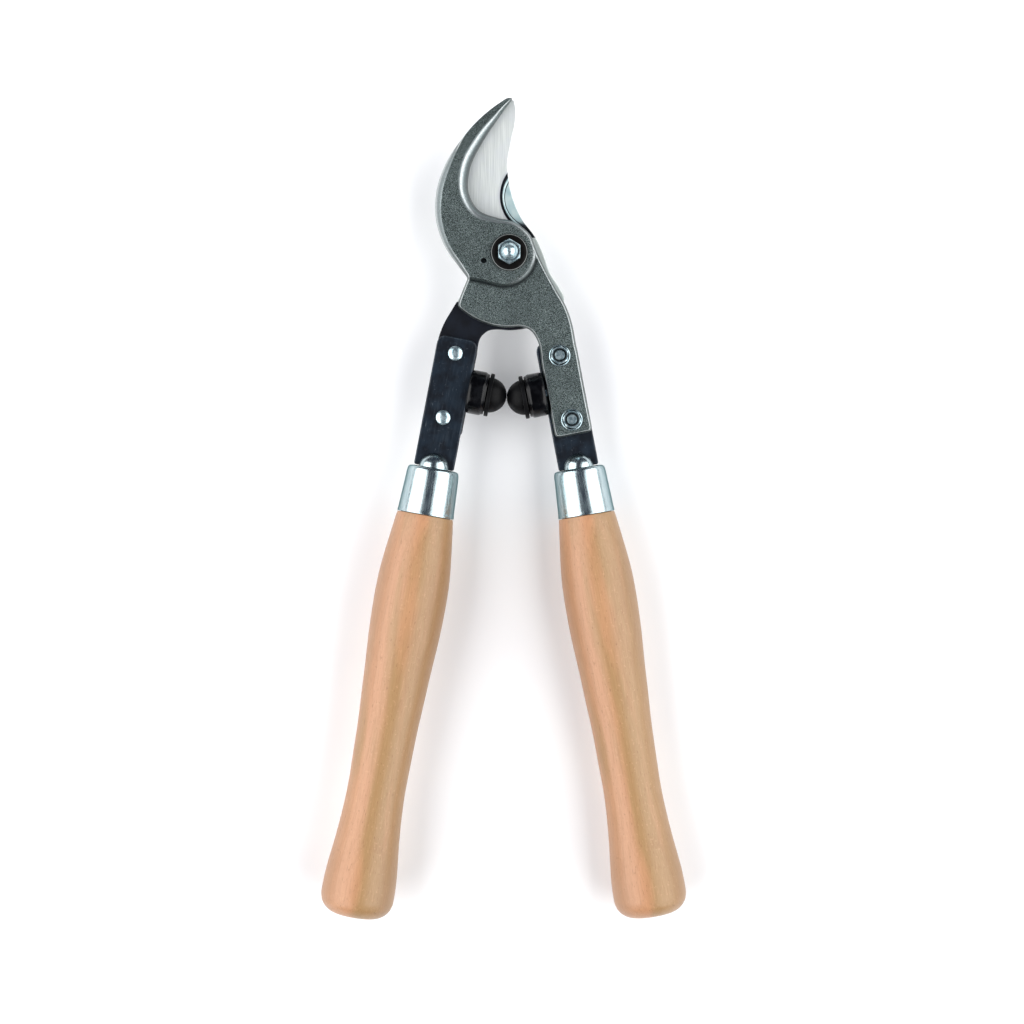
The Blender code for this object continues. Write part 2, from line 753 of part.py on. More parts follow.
def buffer(name, lever, frame):
    """A stop buffer on the lever's inner edge: seat, stud and rubber dome, turned about X of the lever."""
    dome_centre = buffer_reach(lever)
    lip_bottom = dome_centre - BUFFER_LIP_BEHIND
    lip_top = lip_bottom + BUFFER_LIP_THICKNESS
    seat_bottom = max(BAR_WIDTH, HOOK_TANG_WIDTH, BLADE_TANG_WIDTH) / 2 + BLADE_TANG_INSET + GAP
    seat_top = seat_bottom + BUFFER_SEAT_LENGTH
    pocket = seat_top - BUFFER_SEAT_POCKET
    rim = BUFFER_SEAT_DIAMETER / 2
    plug = BUFFER_PLUG_DIAMETER / 2
    lip = BUFFER_LIP_DIAMETER / 2
    stud = BUFFER_STUD_DIAMETER / 2
    turn = (0, -lever["side"] * 90, 0)
    place = (0, -BUFFER_BELOW_BOLT, 0)

    seat = turned(
        f"{name}_buffer_seat",
        [
            (plug + GAP, seat_top),
            (rim - 0.6, seat_top),
            (rim, seat_top - 0.6),
            (rim, seat_bottom + 1.0),
            (rim - 1.0, seat_bottom),
            (stud + GAP, seat_bottom),
            (stud + GAP, pocket),
            (plug + GAP, pocket),
            (plug + GAP, seat_top),
        ],
    )
    put(seat, frame, gloss_black, place, turn)

    flat_start = math.asin((lip_top - dome_centre) / BUFFER_DOME_RADIUS)
    ball = BUFFER_DOME_RADIUS
    angles = [(math.pi / 2 - flat_start) * i / 7 for i in range(8)]
    dome = [(ball * math.sin(angle), dome_centre + ball * math.cos(angle)) for angle in angles]
    head = STUD_HEAD_DIAMETER / 2
    head_top = pocket + GAP + STUD_HEAD_HEIGHT
    rubber = turned(
        f"{name}_buffer",
        dome
        + [(lip - 0.5, lip_top), (lip, lip_top - 0.5), (lip, lip_bottom + 0.5), (lip - 0.5, lip_bottom)]
        + [(plug, lip_bottom), (plug, pocket + GAP), (head + GAP, pocket + GAP)]
        + [(head + GAP, head_top + GAP), (0, head_top + GAP)],
    )
    put(rubber, frame, rubber_black, place, turn)

    screw = turned(
        f"{name}_buffer_stud",
        [
            (0, head_top),
            (head, head_top),
            (head, pocket + GAP),
            (stud, pocket + GAP),
            (stud, BAR_WIDTH / 2 - BUFFER_STUD_DEPTH),
            (0, BAR_WIDTH / 2 - BUFFER_STUD_DEPTH),
        ],
        SMALL_SIDES,
    )
    put(screw, frame, zinc, place, turn)


def lever_parts(name, lever, half, middle, forging_plates, stack, head_side):
    """Everything fixed to one lever: bar, bolts, ferrule, handle and buffer."""
    frame = empty(f"{name}_lever", half, (*lever["origin"], 0), lever["side"] * lever["tilt"])
    grip = empty(f"{name}_grip", frame, (0, -lever["ferrule"], middle))
    bend = math.radians(lever["side"] * (lever["grip_tilt"] - lever["tilt"]))
    grip.rotation_euler = (math.radians(-90), 0, bend)
    bar = shank(f"{name}_shank", lever, frame, grip, middle)
    bolt_holes(lever, frame, name, (bar, *forging_plates))
    stud_channel(lever, frame, name, (bar, *forging_plates))
    for tag, y in (("upper", 0), ("lower", -BOLT_PITCH)):
        tang_bolt((name, tag), frame, (lever["bolt_x"], y), head_side, *stack, zinc)
    ferrule(f"{name}_ferrule", grip)
    handle(f"{name}_handle", grip)
    buffer(name, lever, frame)


def stand_on_origin(root):
    """Moves the root so that the whole tool's box has its bottom centre at the world origin."""
    bpy.context.view_layer.update()
    graph = bpy.context.evaluated_depsgraph_get()
    low, high = Vector((1e9,) * 3), Vector((-1e9,) * 3)
    for obj in parts.objects:
        if obj.type != "MESH" or obj.hide_render:
            continue
        shape = obj.evaluated_get(graph)
        for vertex in shape.data.vertices:
            place = shape.matrix_world @ vertex.co
            low = Vector(map(min, low, place))
            high = Vector(map(max, high, place))
    root.location = (-(low.x + high.x) / 2, -(low.y + high.y) / 2, -low.z)


def shade_round():
    for obj in parts.objects:
        if obj.type == "MESH":
            obj.data.shade_smooth()
            obj.data.set_sharp_from_angle(angle=math.radians(35))


clear_scene()
parts = new_collection("pruning_shears")
cutters = new_collection("cutters")

forged = material("Forged steel, dark lacquer", "555F60", 0.75, 0.42)
ground = material("Ground blade steel", "D3D8D8", 1.0, 0.28)
blackened = material("Black oxide bar", "252B33", 0.6, 0.38)
zinc = material("Zinc plating", "C6D3D8", 1.0, 0.25)
dark = material("Dark spring steel", "2A2421", 0.7, 0.45)
plated = material("Bright nickel plating", "E2E7E8", 1.0, 0.08)
beech = material("Beech", "DCAE7F", 0.0, 0.42)
gloss_black = material("Gloss black plastic", "0C0D0F", 0.0, 0.2)
rubber_black = material("Black rubber", "121315", 0.0, 0.55)

root = empty("shears_root", None)
hook_half = empty("hook_half", root)
blade_half = empty("blade_half", root)

hook = hook_forging()
blade = cutting_blade()
pivot()
lever_parts("right", RIGHT_LEVER, hook_half, RIGHT_BAR_MIDDLE, (hook,), (TANG_TOP, RIGHT_BAR_BACK), -1)
lever_parts("left", LEFT_LEVER, blade_half, LEFT_BAR_MIDDLE, (blade,), (LEFT_BAR_TOP, BLADE_BACK), 1)

for helper in cutters.objects:
    hide(helper)
    if helper.parent is None:
        helper.parent = root
shade_round()
stand_on_origin(root)
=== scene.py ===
"""Bypass pruning shears with turned beech grips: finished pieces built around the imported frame.

Sizes are in millimetres. Each piece is worked out with numpy in the frame of the sub-assembly it belongs to, and
Shape.build turns it into metres in the row frame. The pivot's frame has the pivot axis at (0, 0) and the sliding
plane of the two forgings at Z 0, with +Y towards the tip and +Z out of the front.
"""

import json
import logging
import math
from dataclasses import dataclass
from enum import Enum
from typing import Any, Callable, Sequence

import bmesh
import bpy
import numpy as np
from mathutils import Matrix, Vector
from mathutils.geometry import delaunay_2d_cdt

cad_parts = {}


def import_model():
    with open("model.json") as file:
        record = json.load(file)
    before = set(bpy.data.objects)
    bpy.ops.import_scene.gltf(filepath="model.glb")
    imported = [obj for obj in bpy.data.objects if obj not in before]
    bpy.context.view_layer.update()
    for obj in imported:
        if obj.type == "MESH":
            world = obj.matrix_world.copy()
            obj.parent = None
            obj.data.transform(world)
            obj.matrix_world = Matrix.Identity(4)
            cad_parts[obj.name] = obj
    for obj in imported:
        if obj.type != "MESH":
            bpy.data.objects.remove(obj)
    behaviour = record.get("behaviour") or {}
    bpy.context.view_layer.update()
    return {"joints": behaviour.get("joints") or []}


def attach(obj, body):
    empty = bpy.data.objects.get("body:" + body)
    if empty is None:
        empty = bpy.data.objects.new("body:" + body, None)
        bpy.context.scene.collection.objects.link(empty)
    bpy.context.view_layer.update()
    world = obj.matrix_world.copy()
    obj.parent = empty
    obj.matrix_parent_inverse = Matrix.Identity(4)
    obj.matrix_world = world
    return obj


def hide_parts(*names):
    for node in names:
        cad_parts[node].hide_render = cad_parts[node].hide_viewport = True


Array = np.ndarray
MM = 0.001
log = logging.getLogger("shears")


# ---------------------------------------------------------------- frames and curves


def shift(x: float, y: float, z: float) -> Array:
    """A 4 x 4 matrix that moves points."""
    matrix = np.eye(4)
    matrix[:3, 3] = (x, y, z)
    return matrix


def turn(axis: str, degrees: float) -> Array:
    """A 4 x 4 matrix that turns points about X, Y or Z by the right-hand rule."""
    first, second = {"X": (1, 2), "Y": (2, 0), "Z": (0, 1)}[axis]
    angle = math.radians(degrees)
    matrix = np.eye(4)
    matrix[first, first] = matrix[second, second] = math.cos(angle)
    matrix[first, second] = -math.sin(angle)
    matrix[second, first] = math.sin(angle)
    return matrix


def moved(points: Array, matrix: Array) -> Array:
    """Points (n, 3) through a 4 x 4 matrix."""
    return points @ matrix[:3, :3].T + matrix[:3, 3]


def flowing(knots: Array, step: float) -> Array:
    """A cubic curve through rows of knots, sampled about every step.

    Between two knots it is the Hermite cubic whose end slopes are the weighted mean of the chords either side.

    Args:
        knots: rows of X, Y and any further numbers that ride along.
        step: distance between samples.

    Returns:
        The sampled rows, both ends included.
    """
    chord = np.hypot(*np.diff(knots[:, :2], axis=0).T)
    at = np.concatenate([[0.0], np.cumsum(chord)])
    slope = np.diff(knots, axis=0) / chord[:, None]
    ends = np.vstack([slope[:1], slope[-1:]])
    if len(knots) > 2:
        before, after = chord[:-1, None], chord[1:, None]
        inner = (slope[:-1] * after + slope[1:] * before) / (before + after)
        ends = np.vstack([1.5 * slope[:1] - 0.5 * inner[:1], 1.5 * slope[-1:] - 0.5 * inner[-1:]])
        slopes = np.vstack([ends[:1], inner, ends[1:]])
    else:
        slopes = ends
    samples = np.linspace(0, at[-1], max(3, math.ceil(at[-1] / step) + 1))
    span = np.clip(np.searchsorted(at, samples, side="right") - 1, 0, len(chord) - 1)
    width = chord[span][:, None]
    t = ((samples - at[span]) / chord[span])[:, None]
    here, there = knots[span], knots[span + 1]
    return (
        (2 * t**3 - 3 * t**2 + 1) * here
        + (t**3 - 2 * t**2 + t) * width * slopes[span]
        + (3 * t**2 - 2 * t**3) * there
        + (t**3 - t**2) * width * slopes[span + 1]
    )


@dataclass(frozen=True)
class Knot:
    """A point of an outline: its rim's width and fullness there, and its rounding if it is a corner."""

    x: float
    y: float
    rim: float = 0.5
    fullness: float = 1.6
    corner: float = 0.0


def outline(knots: Sequence[Knot], step: float) -> Array:
    """A closed outline through knots, anticlockwise: rows of X, Y, rim and fullness.

    Smooth runs go between corners. At a corner each run stops short by the rounding, and the quadratic curve
    that has the corner as its middle control point joins them.

    Args:
        knots: the outline in order, with a corner first.
        step: distance between samples.

    Returns:
        The sampled rows, without a repeated last row.
    """
    rows = np.array([(k.x, k.y, k.rim, k.fullness) for k in knots])
    at = [i for i, k in enumerate(knots) if k.corner > 0]
    runs = []
    for number, start in enumerate(at):
        stop = at[(number + 1) % len(at)]
        order = range(start, stop + 1) if stop > start else [*range(start, len(knots)), *range(stop + 1)]
        run = flowing(rows[list(order)], step)
        away = np.concatenate([[0], np.cumsum(np.hypot(*np.diff(run[:, :2], axis=0).T))])
        keep = (away > knots[start].corner) & (away < away[-1] - knots[stop].corner)
        runs.append(run[keep])
    t = np.linspace(0, 1, 8)[:, None]
    whole = []
    for number, start in enumerate(at):
        before, after, corner = runs[number - 1][-1], runs[number][0], rows[start]
        whole.append((1 - t) ** 2 * before + 2 * t * (1 - t) * corner + t**2 * after)
        whole.append(runs[number])
    joined = np.vstack(whole)
    apart = np.hypot(*(joined[:, :2] - np.roll(joined[:, :2], 1, axis=0)).T)
    joined = joined[apart > 1e-3]
    x, y = joined[:, 0], joined[:, 1]
    clockwise = np.sum(x * np.roll(y, -1) - y * np.roll(x, -1)) < 0
    return joined[::-1] if clockwise else joined


def inward(rows: Array) -> Array:
    """Unit normals into an anticlockwise outline: the mean direction either side, turned a quarter left."""
    along = np.roll(rows[:, :2], -1, axis=0) - np.roll(rows[:, :2], 1, axis=0)
    along /= np.hypot(*along.T)[:, None]
    return np.stack([-along[:, 1], along[:, 0]], axis=1)


def arc(centre: tuple[float, float], radius: float, start: float, end: float, count: int) -> Array:
    """Points of a circular arc between two angles in degrees, both ends included."""
    angle = np.radians(np.linspace(start, end, count))
    return np.stack([centre[0] + radius * np.cos(angle), centre[1] + radius * np.sin(angle)], axis=1)


def distance(points: Array, path: Array) -> Array:
    """The distance of each point from an open path: the least over its segments, each clamped at its ends."""
    start, along = path[:-1], np.diff(path, axis=0)
    rel = points[:, None] - start[None]
    share = np.clip((rel * along).sum(-1) / np.maximum((along**2).sum(-1), 1e-12), 0, 1)
    return np.linalg.norm(rel - share[..., None] * along, axis=-1).min(axis=1)


def inside(points: Array, loop: Array) -> Array:
    """Which points are inside a closed loop, by counting the edges that a ray along +X crosses."""
    a, b = loop, np.roll(loop, -1, axis=0)
    y = points[:, 1:2]
    crosses = (a[:, 1] > y) != (b[:, 1] > y)
    rise = np.where(b[:, 1] == a[:, 1], 1e-12, b[:, 1] - a[:, 1])
    reach = a[:, 0] + (y - a[:, 1]) / rise * (b[:, 0] - a[:, 0])
    return (crosses & (points[:, :1] < reach)).sum(axis=1) % 2 == 1


def ease(share: Array) -> Array:
    """0 to 1 with level ends: 3 s^2 - 2 s^3 of the share clipped to 0 and 1."""
    share = np.clip(share, 0, 1)
    return share * share * (3 - 2 * share)


# ---------------------------------------------------------------- meshes


class Shape:
    """Points, faces and named numbers a point, gathered before they become one mesh object."""

    def __init__(self) -> None:
        self.points: list[Array] = []
        self.faces: list[list[int]] = []
        self.marks: dict[str, list[Array]] = {}
        self.count = 0

    def add(self, points: Array, faces: Array | Sequence[Sequence[int]], marks: dict[str, Array] | None = None) -> None:
        """Adds points with the faces that join them, and the numbers that ride on them."""
        self.faces += [[corner + self.count for corner in face] for face in faces]
        for name in {*self.marks, *(marks or {})}:
            value = (marks or {}).get(name, np.zeros(len(points)))
            self.marks.setdefault(name, [np.zeros(self.count)] if self.count else []).append(value)
        self.points.append(points)
        self.count += len(points)

    def grid(self, points: Array, close: bool = True, marks: dict[str, Array] | None = None) -> None:
        """Adds a grid of points (rows, columns, 3) as quads, the last column joined to the first if close."""
        rows, columns = points.shape[:2]
        row = np.arange(rows - 1)[:, None] * columns
        here = np.arange(columns if close else columns - 1)[None]
        there = (here + 1) % columns
        quads = np.stack([row + here, row + there, row + columns + there, row + columns + here], axis=-1)
        flat = {name: np.broadcast_to(value, (rows, columns)).ravel() for name, value in (marks or {}).items()}
        self.add(points.reshape(-1, 3), quads.reshape(-1, 4), flat)

    def revolve(self, profile: Array, sides: int, matrix: Array | None = None, ripple: Array | None = None) -> None:
        """Adds a surface of revolution about Z: (r cos a, r sin a, z) for each profile row (r, z).

        Args:
            profile: rows of radius and height. A radius of 0 closes the surface at a pole.
            sides: how many columns.
            matrix: where it goes.
            ripple: what to add to the radius, as (rows, sides).
        """
        angle = np.linspace(0, 2 * math.pi, sides, endpoint=False)
        radius = np.broadcast_to(profile[:, :1], (len(profile), sides))
        if ripple is not None:
            radius = radius + np.where(radius > 0, ripple, 0)
        height = np.broadcast_to(profile[:, 1:2], radius.shape)
        points = np.stack([radius * np.cos(angle), radius * np.sin(angle), height], axis=-1)
        self.grid(points if matrix is None else moved(points, matrix))

    def build(self, name: str, finish: "Finish", body: str, place: Array, replaces: Sequence[str], sharp: float = 32.0) -> Any:
        """Makes the object: welds doubled points, turns faces outwards and dresses it.

        Args:
            name: the piece's name.
            finish: what it is made of.
            body: the CAD body it rides on.
            place: its frame in the row frame, in millimetres.
            replaces: the CAD nodes it stands for.
            sharp: edges that turn by more than this many degrees stay crisp.

        Returns:
            The object.
        """
        name = "finished_" + name.replace(" ", "_")
        mesh = bpy.data.meshes.new(name)
        mesh.from_pydata((moved(np.vstack(self.points), place) * MM).tolist(), [], self.faces)
        for mark, values in self.marks.items():
            layer = mesh.attributes.new(mark, "FLOAT", "POINT")
            layer.data.foreach_set("value", np.concatenate(values).astype(np.float32))
        form = bmesh.new()
        form.from_mesh(mesh)
        bmesh.ops.remove_doubles(form, verts=form.verts, dist=2e-6)
        bmesh.ops.dissolve_degenerate(form, edges=form.edges, dist=1e-7)
        bmesh.ops.holes_fill(form, edges=[edge for edge in form.edges if edge.is_boundary], sides=0)
        bmesh.ops.recalc_face_normals(form, faces=form.faces)
        form.to_mesh(mesh)
        form.free()
        mesh.shade_smooth()
        mesh.set_sharp_from_angle(angle=math.radians(sharp))
        obj = bpy.data.objects.new(name, mesh)
        bpy.context.scene.collection.objects.link(obj)
        mesh.materials.append(finish.material())
        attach(obj, body)
        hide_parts(*replaces)
        log.info("%s: %d faces on %s", name, len(mesh.polygons), body)
        return obj


def cap(
    loop: Array,
    heights: Array,
    face: Callable[[Array], Array],
    holes: Sequence[Array],
    lines: Sequence[Array],
    spacing: float,
) -> tuple[Array, Array]:
    """A surface z = face(x, y) inside a loop, as triangles between the loop, holes, feature lines and a lattice.

    Args:
        loop: the outer edge, (n, 2).
        heights: Z along the outer edge.
        face: gives Z at points (n, 2).
        holes: inner loops to leave open.
        lines: paths that the triangles follow, so that a fold stays crisp.
        spacing: distance between lattice points.

    Returns:
        Points and triangles.
    """
    drawn = [loop, *holes]
    edges: list[tuple[int, int]] = []
    count = 0
    for ring in drawn:
        index = np.arange(len(ring)) + count
        edges += zip(index.tolist(), np.roll(index, -1).tolist())
        count += len(ring)
    for line in lines:
        free = inside(line, loop) & (distance(line, np.vstack([loop, loop[:1]])) > 0.25)
        for hole in holes:
            free &= ~inside(line, hole) & (distance(line, np.vstack([hole, hole[:1]])) > 0.25)
        index = np.where(free, np.cumsum(free) - 1 + count, -1)
        edges += [(int(a), int(b)) for a, b in zip(index[:-1], index[1:]) if a >= 0 and b >= 0]
        drawn.append(line[free])
        count += int(free.sum())
    low, high = loop.min(axis=0), loop.max(axis=0)
    x, y = np.meshgrid(np.arange(low[0], high[0], spacing), np.arange(low[1], high[1], spacing * 0.87))
    x = x + (np.arange(len(x)) % 2)[:, None] * spacing / 2
    lattice = np.stack([x.ravel(), y.ravel()], axis=1)
    lattice = lattice[inside(lattice, loop)]
    for hole in holes:
        lattice = lattice[~inside(lattice, hole)]
    known = np.vstack(drawn)
    near = np.zeros(len(lattice), bool)
    for start in range(0, len(lattice), 1000):
        part = lattice[start : start + 1000]
        near[start : start + 1000] = np.linalg.norm(part[:, None] - known[None], axis=-1).min(axis=1) < spacing * 0.6
    lattice = lattice[~near]
    flat = np.vstack([known, lattice])
    found = delaunay_2d_cdt([Vector(p) for p in flat.tolist()], edges, [], 0, 1e-5)
    points = np.array([tuple(v) for v in found[0]])
    faces = np.array(found[2])
    middle = points[faces].mean(axis=1)
    keep = inside(middle, loop)
    for hole in holes:
        keep &= ~inside(middle, hole)
    height = face(points)
    source = [origin[0] if origin else -1 for origin in found[3]]
    for number, origin in enumerate(source):
        if 0 <= origin < len(loop):
            height[number] = heights[origin]
            points[number] = loop[origin]
    return np.column_stack([points, height]), faces[keep]


@dataclass(frozen=True)
class Plate:
    """A plate with shaped rims: rings of the outline stepped inwards up to the front face and to the back face."""

    rows: Array
    front: Callable[[Array], Array]
    back: Callable[[Array], Array]
    base: Callable[[Array], Array]
    back_rim: float
    back_edge: Callable[[Array], Array]
    holes: Sequence[Array] = ()
    front_lines: Sequence[Array] = ()
    back_lines: Sequence[Array] = ()
    spacing: float = 1.0
    # Gives the cap's painted highlight and painted shade.
    cap_light_and_shade: Callable[[Array], tuple[Array, Array]] = lambda points: (np.zeros(len(points)), np.zeros(len(points)))

    def shape(self) -> Shape:
        """The closed plate. A rim at share t has height (1 - (1 - t)^p)^(1/p) of its rise, with p its fullness."""
        form = Shape()
        normal, rim, fullness = inward(self.rows), self.rows[:, 2], self.rows[:, 3]
        flat = self.rows[:, :2]
        top_loop = flat + normal * rim[:, None]
        top, foot = self.front(top_loop), self.base(flat)
        nothing = np.zeros(len(flat))
        rings, edge, bevel, shade = [np.column_stack([flat, foot])], [nothing], [nothing], [nothing]
        for share in (0.08, 0.18, 0.3, 0.43, 0.56, 0.69, 0.8, 0.88, 0.94, 0.975, 1.0):
            rise = (1 - (1 - share) ** fullness) ** (1 / fullness)
            where = flat + normal * (rim * share)[:, None]
            rings.append(np.column_stack([where, foot + (top - foot) * rise]))
            # Edge mark: a worn crest on narrow rims, a painted highlight on wide ones.
            edge.append(self.rim_wear_and_highlight(share, rim, fullness))
            bevel.append(np.full(len(flat), 1.0))
            # Painted shade: the foot of a steep, wide rim is darkened in the colour.
            shade.append(ease((fullness - 1.4) / 0.6) * (1 - ease(np.array(share / 0.5))) * ease((rim - 1.5) / 1.5))
        last = flat + normal * (rim + 0.15)[:, None]
        rings.append(np.column_stack([last, self.front(last)]))
        edge.append(nothing)
        bevel.append(nothing)
        shade.append(nothing)
        width = np.broadcast_to(rim / 5, (len(rings), len(rim)))
        marks = {"edge": np.array(edge), "bevel": np.array(bevel), "shade": np.array(shade), "broad": width}
        form.grid(np.array(rings), marks=marks)
        points, faces = cap(last, rings[-1][:, 2], self.front, self.holes, self.front_lines, self.spacing)
        # The cap's painted highlight goes into the edge, bevel and broad marks, and its painted shade into the shade
        # mark.
        cap_highlight, painted_shade = self.cap_light_and_shade(points[:, :2])
        form.add(points, faces, {"edge": cap_highlight, "bevel": cap_highlight, "shade": painted_shade, "broad": cap_highlight})

        sill = self.back_edge(flat)
        behind = flat + normal * self.back_rim
        behind_z = self.back(behind)
        half = flat + normal * self.back_rim * 0.3
        wall = np.array(
            [
                np.column_stack([flat, foot]),
                np.column_stack([flat, sill]),
                np.column_stack([half, sill + (behind_z - sill) * 0.7]),
                np.column_stack([behind, behind_z]),
            ]
        )
        form.grid(wall)
        points, faces = cap(behind, behind_z, self.back, self.holes, self.back_lines, self.spacing * 1.5)
        form.add(points, faces)
        for hole in self.holes:
            form.grid(np.array([np.column_stack([hole, self.front(hole)]), np.column_stack([hole, self.back(hole)])]))
        return form

    @staticmethod
    def rim_wear_and_highlight(share: float, rim: Array, fullness: Array) -> Array:
        """How bright a rim is at a share of its width: worn bright in part, and painted highlight in part.

        A narrow rim is worn bright along its top. A wide one carries a painted highlight near its foot, or three
        quarters up if it is full.
        """
        narrow = ease(np.array((share - 0.62) / 0.25)) * (0.25 + 0.75 * ease((rim - 0.5) / 0.2))
        slope = 0.85 * np.exp(-(((share - 0.12) / 0.16) ** 2)) + 0.2 * np.exp(-(((share - 0.85) / 0.14) ** 2))
        full = 0.6 * np.exp(-(((share - 0.74) / 0.2) ** 2))
        wide = slope + (full - slope) * ease((fullness - 1.4) / 0.6)
        return narrow + (wide - narrow) * ease((rim - 1.4) / 0.8)


# ---------------------------------------------------------------- finishes


def colour(code: str) -> tuple[float, float, float, float]:
    """An sRGB hex colour as linear RGBA."""
    values = [int(code[i : i + 2], 16) / 255 for i in (0, 2, 4)]
    red, green, blue = (v / 12.92 if v <= 0.04045 else ((v + 0.055) / 1.055) ** 2.4 for v in values)
    return red, green, blue, 1.0


class Graph:
    """A material's nodes."""

    def __init__(self, name: str) -> None:
        self.material = bpy.data.materials.new(name)
        self.material.use_nodes = True
        self.tree = self.material.node_tree
        self.tree.nodes.clear()

    def add(self, kind: str, inputs: dict[Any, Any], **settings: Any) -> Any:
        """Adds a node. An input is set to a value, or linked where the value is another node's socket."""
        node = self.tree.nodes.new(kind)
        for key, value in settings.items():
            setattr(node, key, value)
        for key, value in inputs.items():
            if isinstance(value, bpy.types.NodeSocket):
                self.tree.links.new(value, node.inputs[key])
            else:
                node.inputs[key].default_value = value
        return node

    def local(self, matrix: Array, stretch: tuple[float, float, float] = (1, 1, 1)) -> Any:
        """Object coordinates in millimetres in a sub-assembly's frame, then stretched."""
        home = np.linalg.inv(matrix)
        turned = math.atan2(home[1, 0], home[0, 0])
        where = self.add("ShaderNodeTexCoord", {}).outputs["Object"]
        inputs = {0: where, "Location": tuple(home[:3, 3]), "Rotation": (0, 0, turned), "Scale": (1 / MM,) * 3}
        mapped = self.add("ShaderNodeMapping", inputs).outputs[0]
        return self.add("ShaderNodeVectorMath", {0: mapped, 1: stretch}, operation="MULTIPLY").outputs[0]

    def noise(self, where: Any, scale: float, detail: float = 2.0, twist: float = 0.0) -> Any:
        """A noise pattern with about scale bumps a millimetre."""
        inputs = {"Vector": where, "Scale": scale, "Detail": detail, "Distortion": twist}
        return self.add("ShaderNodeTexNoise", inputs).outputs[0]

    def ramp(self, value: Any, low: float, high: float, start: float = 0.0, end: float = 1.0) -> Any:
        """The value from low to high as start to end, held beyond them."""
        inputs = {0: value, 1: low, 2: high, 3: start, 4: end}
        return self.add("ShaderNodeMapRange", inputs, interpolation_type="SMOOTHSTEP").outputs[0]

    def blend(self, share: Any, first: Any, second: Any) -> Any:
        """A colour between two."""
        return self.add("ShaderNodeMix", {0: share, 6: first, 7: second}, data_type="RGBA").outputs[2]

    def sum(self, operation: str, first: Any, second: Any) -> Any:
        """One arithmetic step."""
        return self.add("ShaderNodeMath", {0: first, 1: second}, operation=operation).outputs[0]


@dataclass(frozen=True)
class Finish:
    """What a piece is made of. Subclasses add the pattern of the real material."""

    name: str
    slot: str
    place: Array

    def material(self) -> Any:
        """The material, made the first time that it is asked for."""
        found = bpy.data.materials.get(self.name)
        if found is not None:
            return found
        graph = Graph(self.name)
        shader = self.shader(graph)
        graph.add("ShaderNodeOutputMaterial", {0: shader.outputs[0]})
        return graph.material

    def shader(self, graph: Graph) -> Any:
        """The Principled BSDF with everything that feeds it."""
        raise NotImplementedError


class ForgedLacquer(Finish):
    """Drop-forged carbon steel in clear grey lacquer: a pebbled skin of 0.8 mm grains, bright where ground."""

    def shader(self, graph: Graph) -> Any:
        """Grains and finer grit mottle the colour and dent the surface. Ground rims are brighter and smoother.

        The edge mark adds worn crests and painted highlights, and the shade mark adds painted shade.
        """
        where = graph.local(self.place)
        tilted = graph.add("ShaderNodeMapping", {0: where, "Rotation": (0.61, 0.37, 0.0)}).outputs[0]
        grain = graph.noise(tilted, 2.1, 3.0)
        grit = graph.noise(tilted, 3.9, 2.0)
        broad = graph.noise(where, 0.1, 2.0)
        mottle = graph.sum("ADD", graph.sum("MULTIPLY", grit, 0.55), graph.sum("MULTIPLY", grain, 0.45))
        skin = graph.blend(graph.ramp(mottle, 0.42, 0.56), colour("0F1618"), colour("65716F"))
        skin = graph.blend(graph.ramp(grit, 0.58, 0.7, 0.0, 0.75), skin, colour("BAC8CA"))
        skin = graph.blend(graph.ramp(broad, 0.35, 0.7, 0.0, 0.22), skin, colour("262E30"))
        edge = graph.add("ShaderNodeAttribute", {}, attribute_name="edge").outputs["Fac"]
        bevel = graph.add("ShaderNodeAttribute", {}, attribute_name="bevel").outputs["Fac"]
        width = graph.add("ShaderNodeAttribute", {}, attribute_name="broad").outputs["Fac"]
        shade = graph.add("ShaderNodeAttribute", {}, attribute_name="shade").outputs["Fac"]
        # Ground rims take a paler grey. On the cap the same band is the step's painted highlight.
        band = graph.sum("MULTIPLY", bevel, graph.ramp(width, 0.3, 0.55))
        # Worn crests and painted highlights, broken up by the mottle.
        wear_and_highlight_mottle = graph.ramp(mottle, 0.36, 0.56, 0.35, 1.0)
        skin = graph.blend(graph.sum("MULTIPLY", band, 0.45), skin, colour("8C9799"))
        skin = graph.blend(graph.sum("MULTIPLY", graph.sum("MULTIPLY", edge, wear_and_highlight_mottle), 0.8), skin, colour("E6ECEC"))
        # Painted shade at the foot of the inner edge and of the step.
        skin = graph.blend(graph.sum("MULTIPLY", shade, 0.85), skin, colour("10171A"))
        height = graph.sum("MULTIPLY", mottle, graph.ramp(band, 0.0, 1.0, 1.0, 0.45))
        bump = graph.add("ShaderNodeBump", {"Strength": 0.8, "Distance": 0.0002, "Height": height})
        inputs = {
            "Base Color": skin,
            "Metallic": graph.ramp(edge, 0.0, 1.0, 0.7, 0.9),
            "Roughness": graph.ramp(band, 0.0, 1.0, 0.42, 0.3),
            "Normal": bump.outputs[0],
        }
        return graph.add("ShaderNodeBsdfPrincipled", inputs)


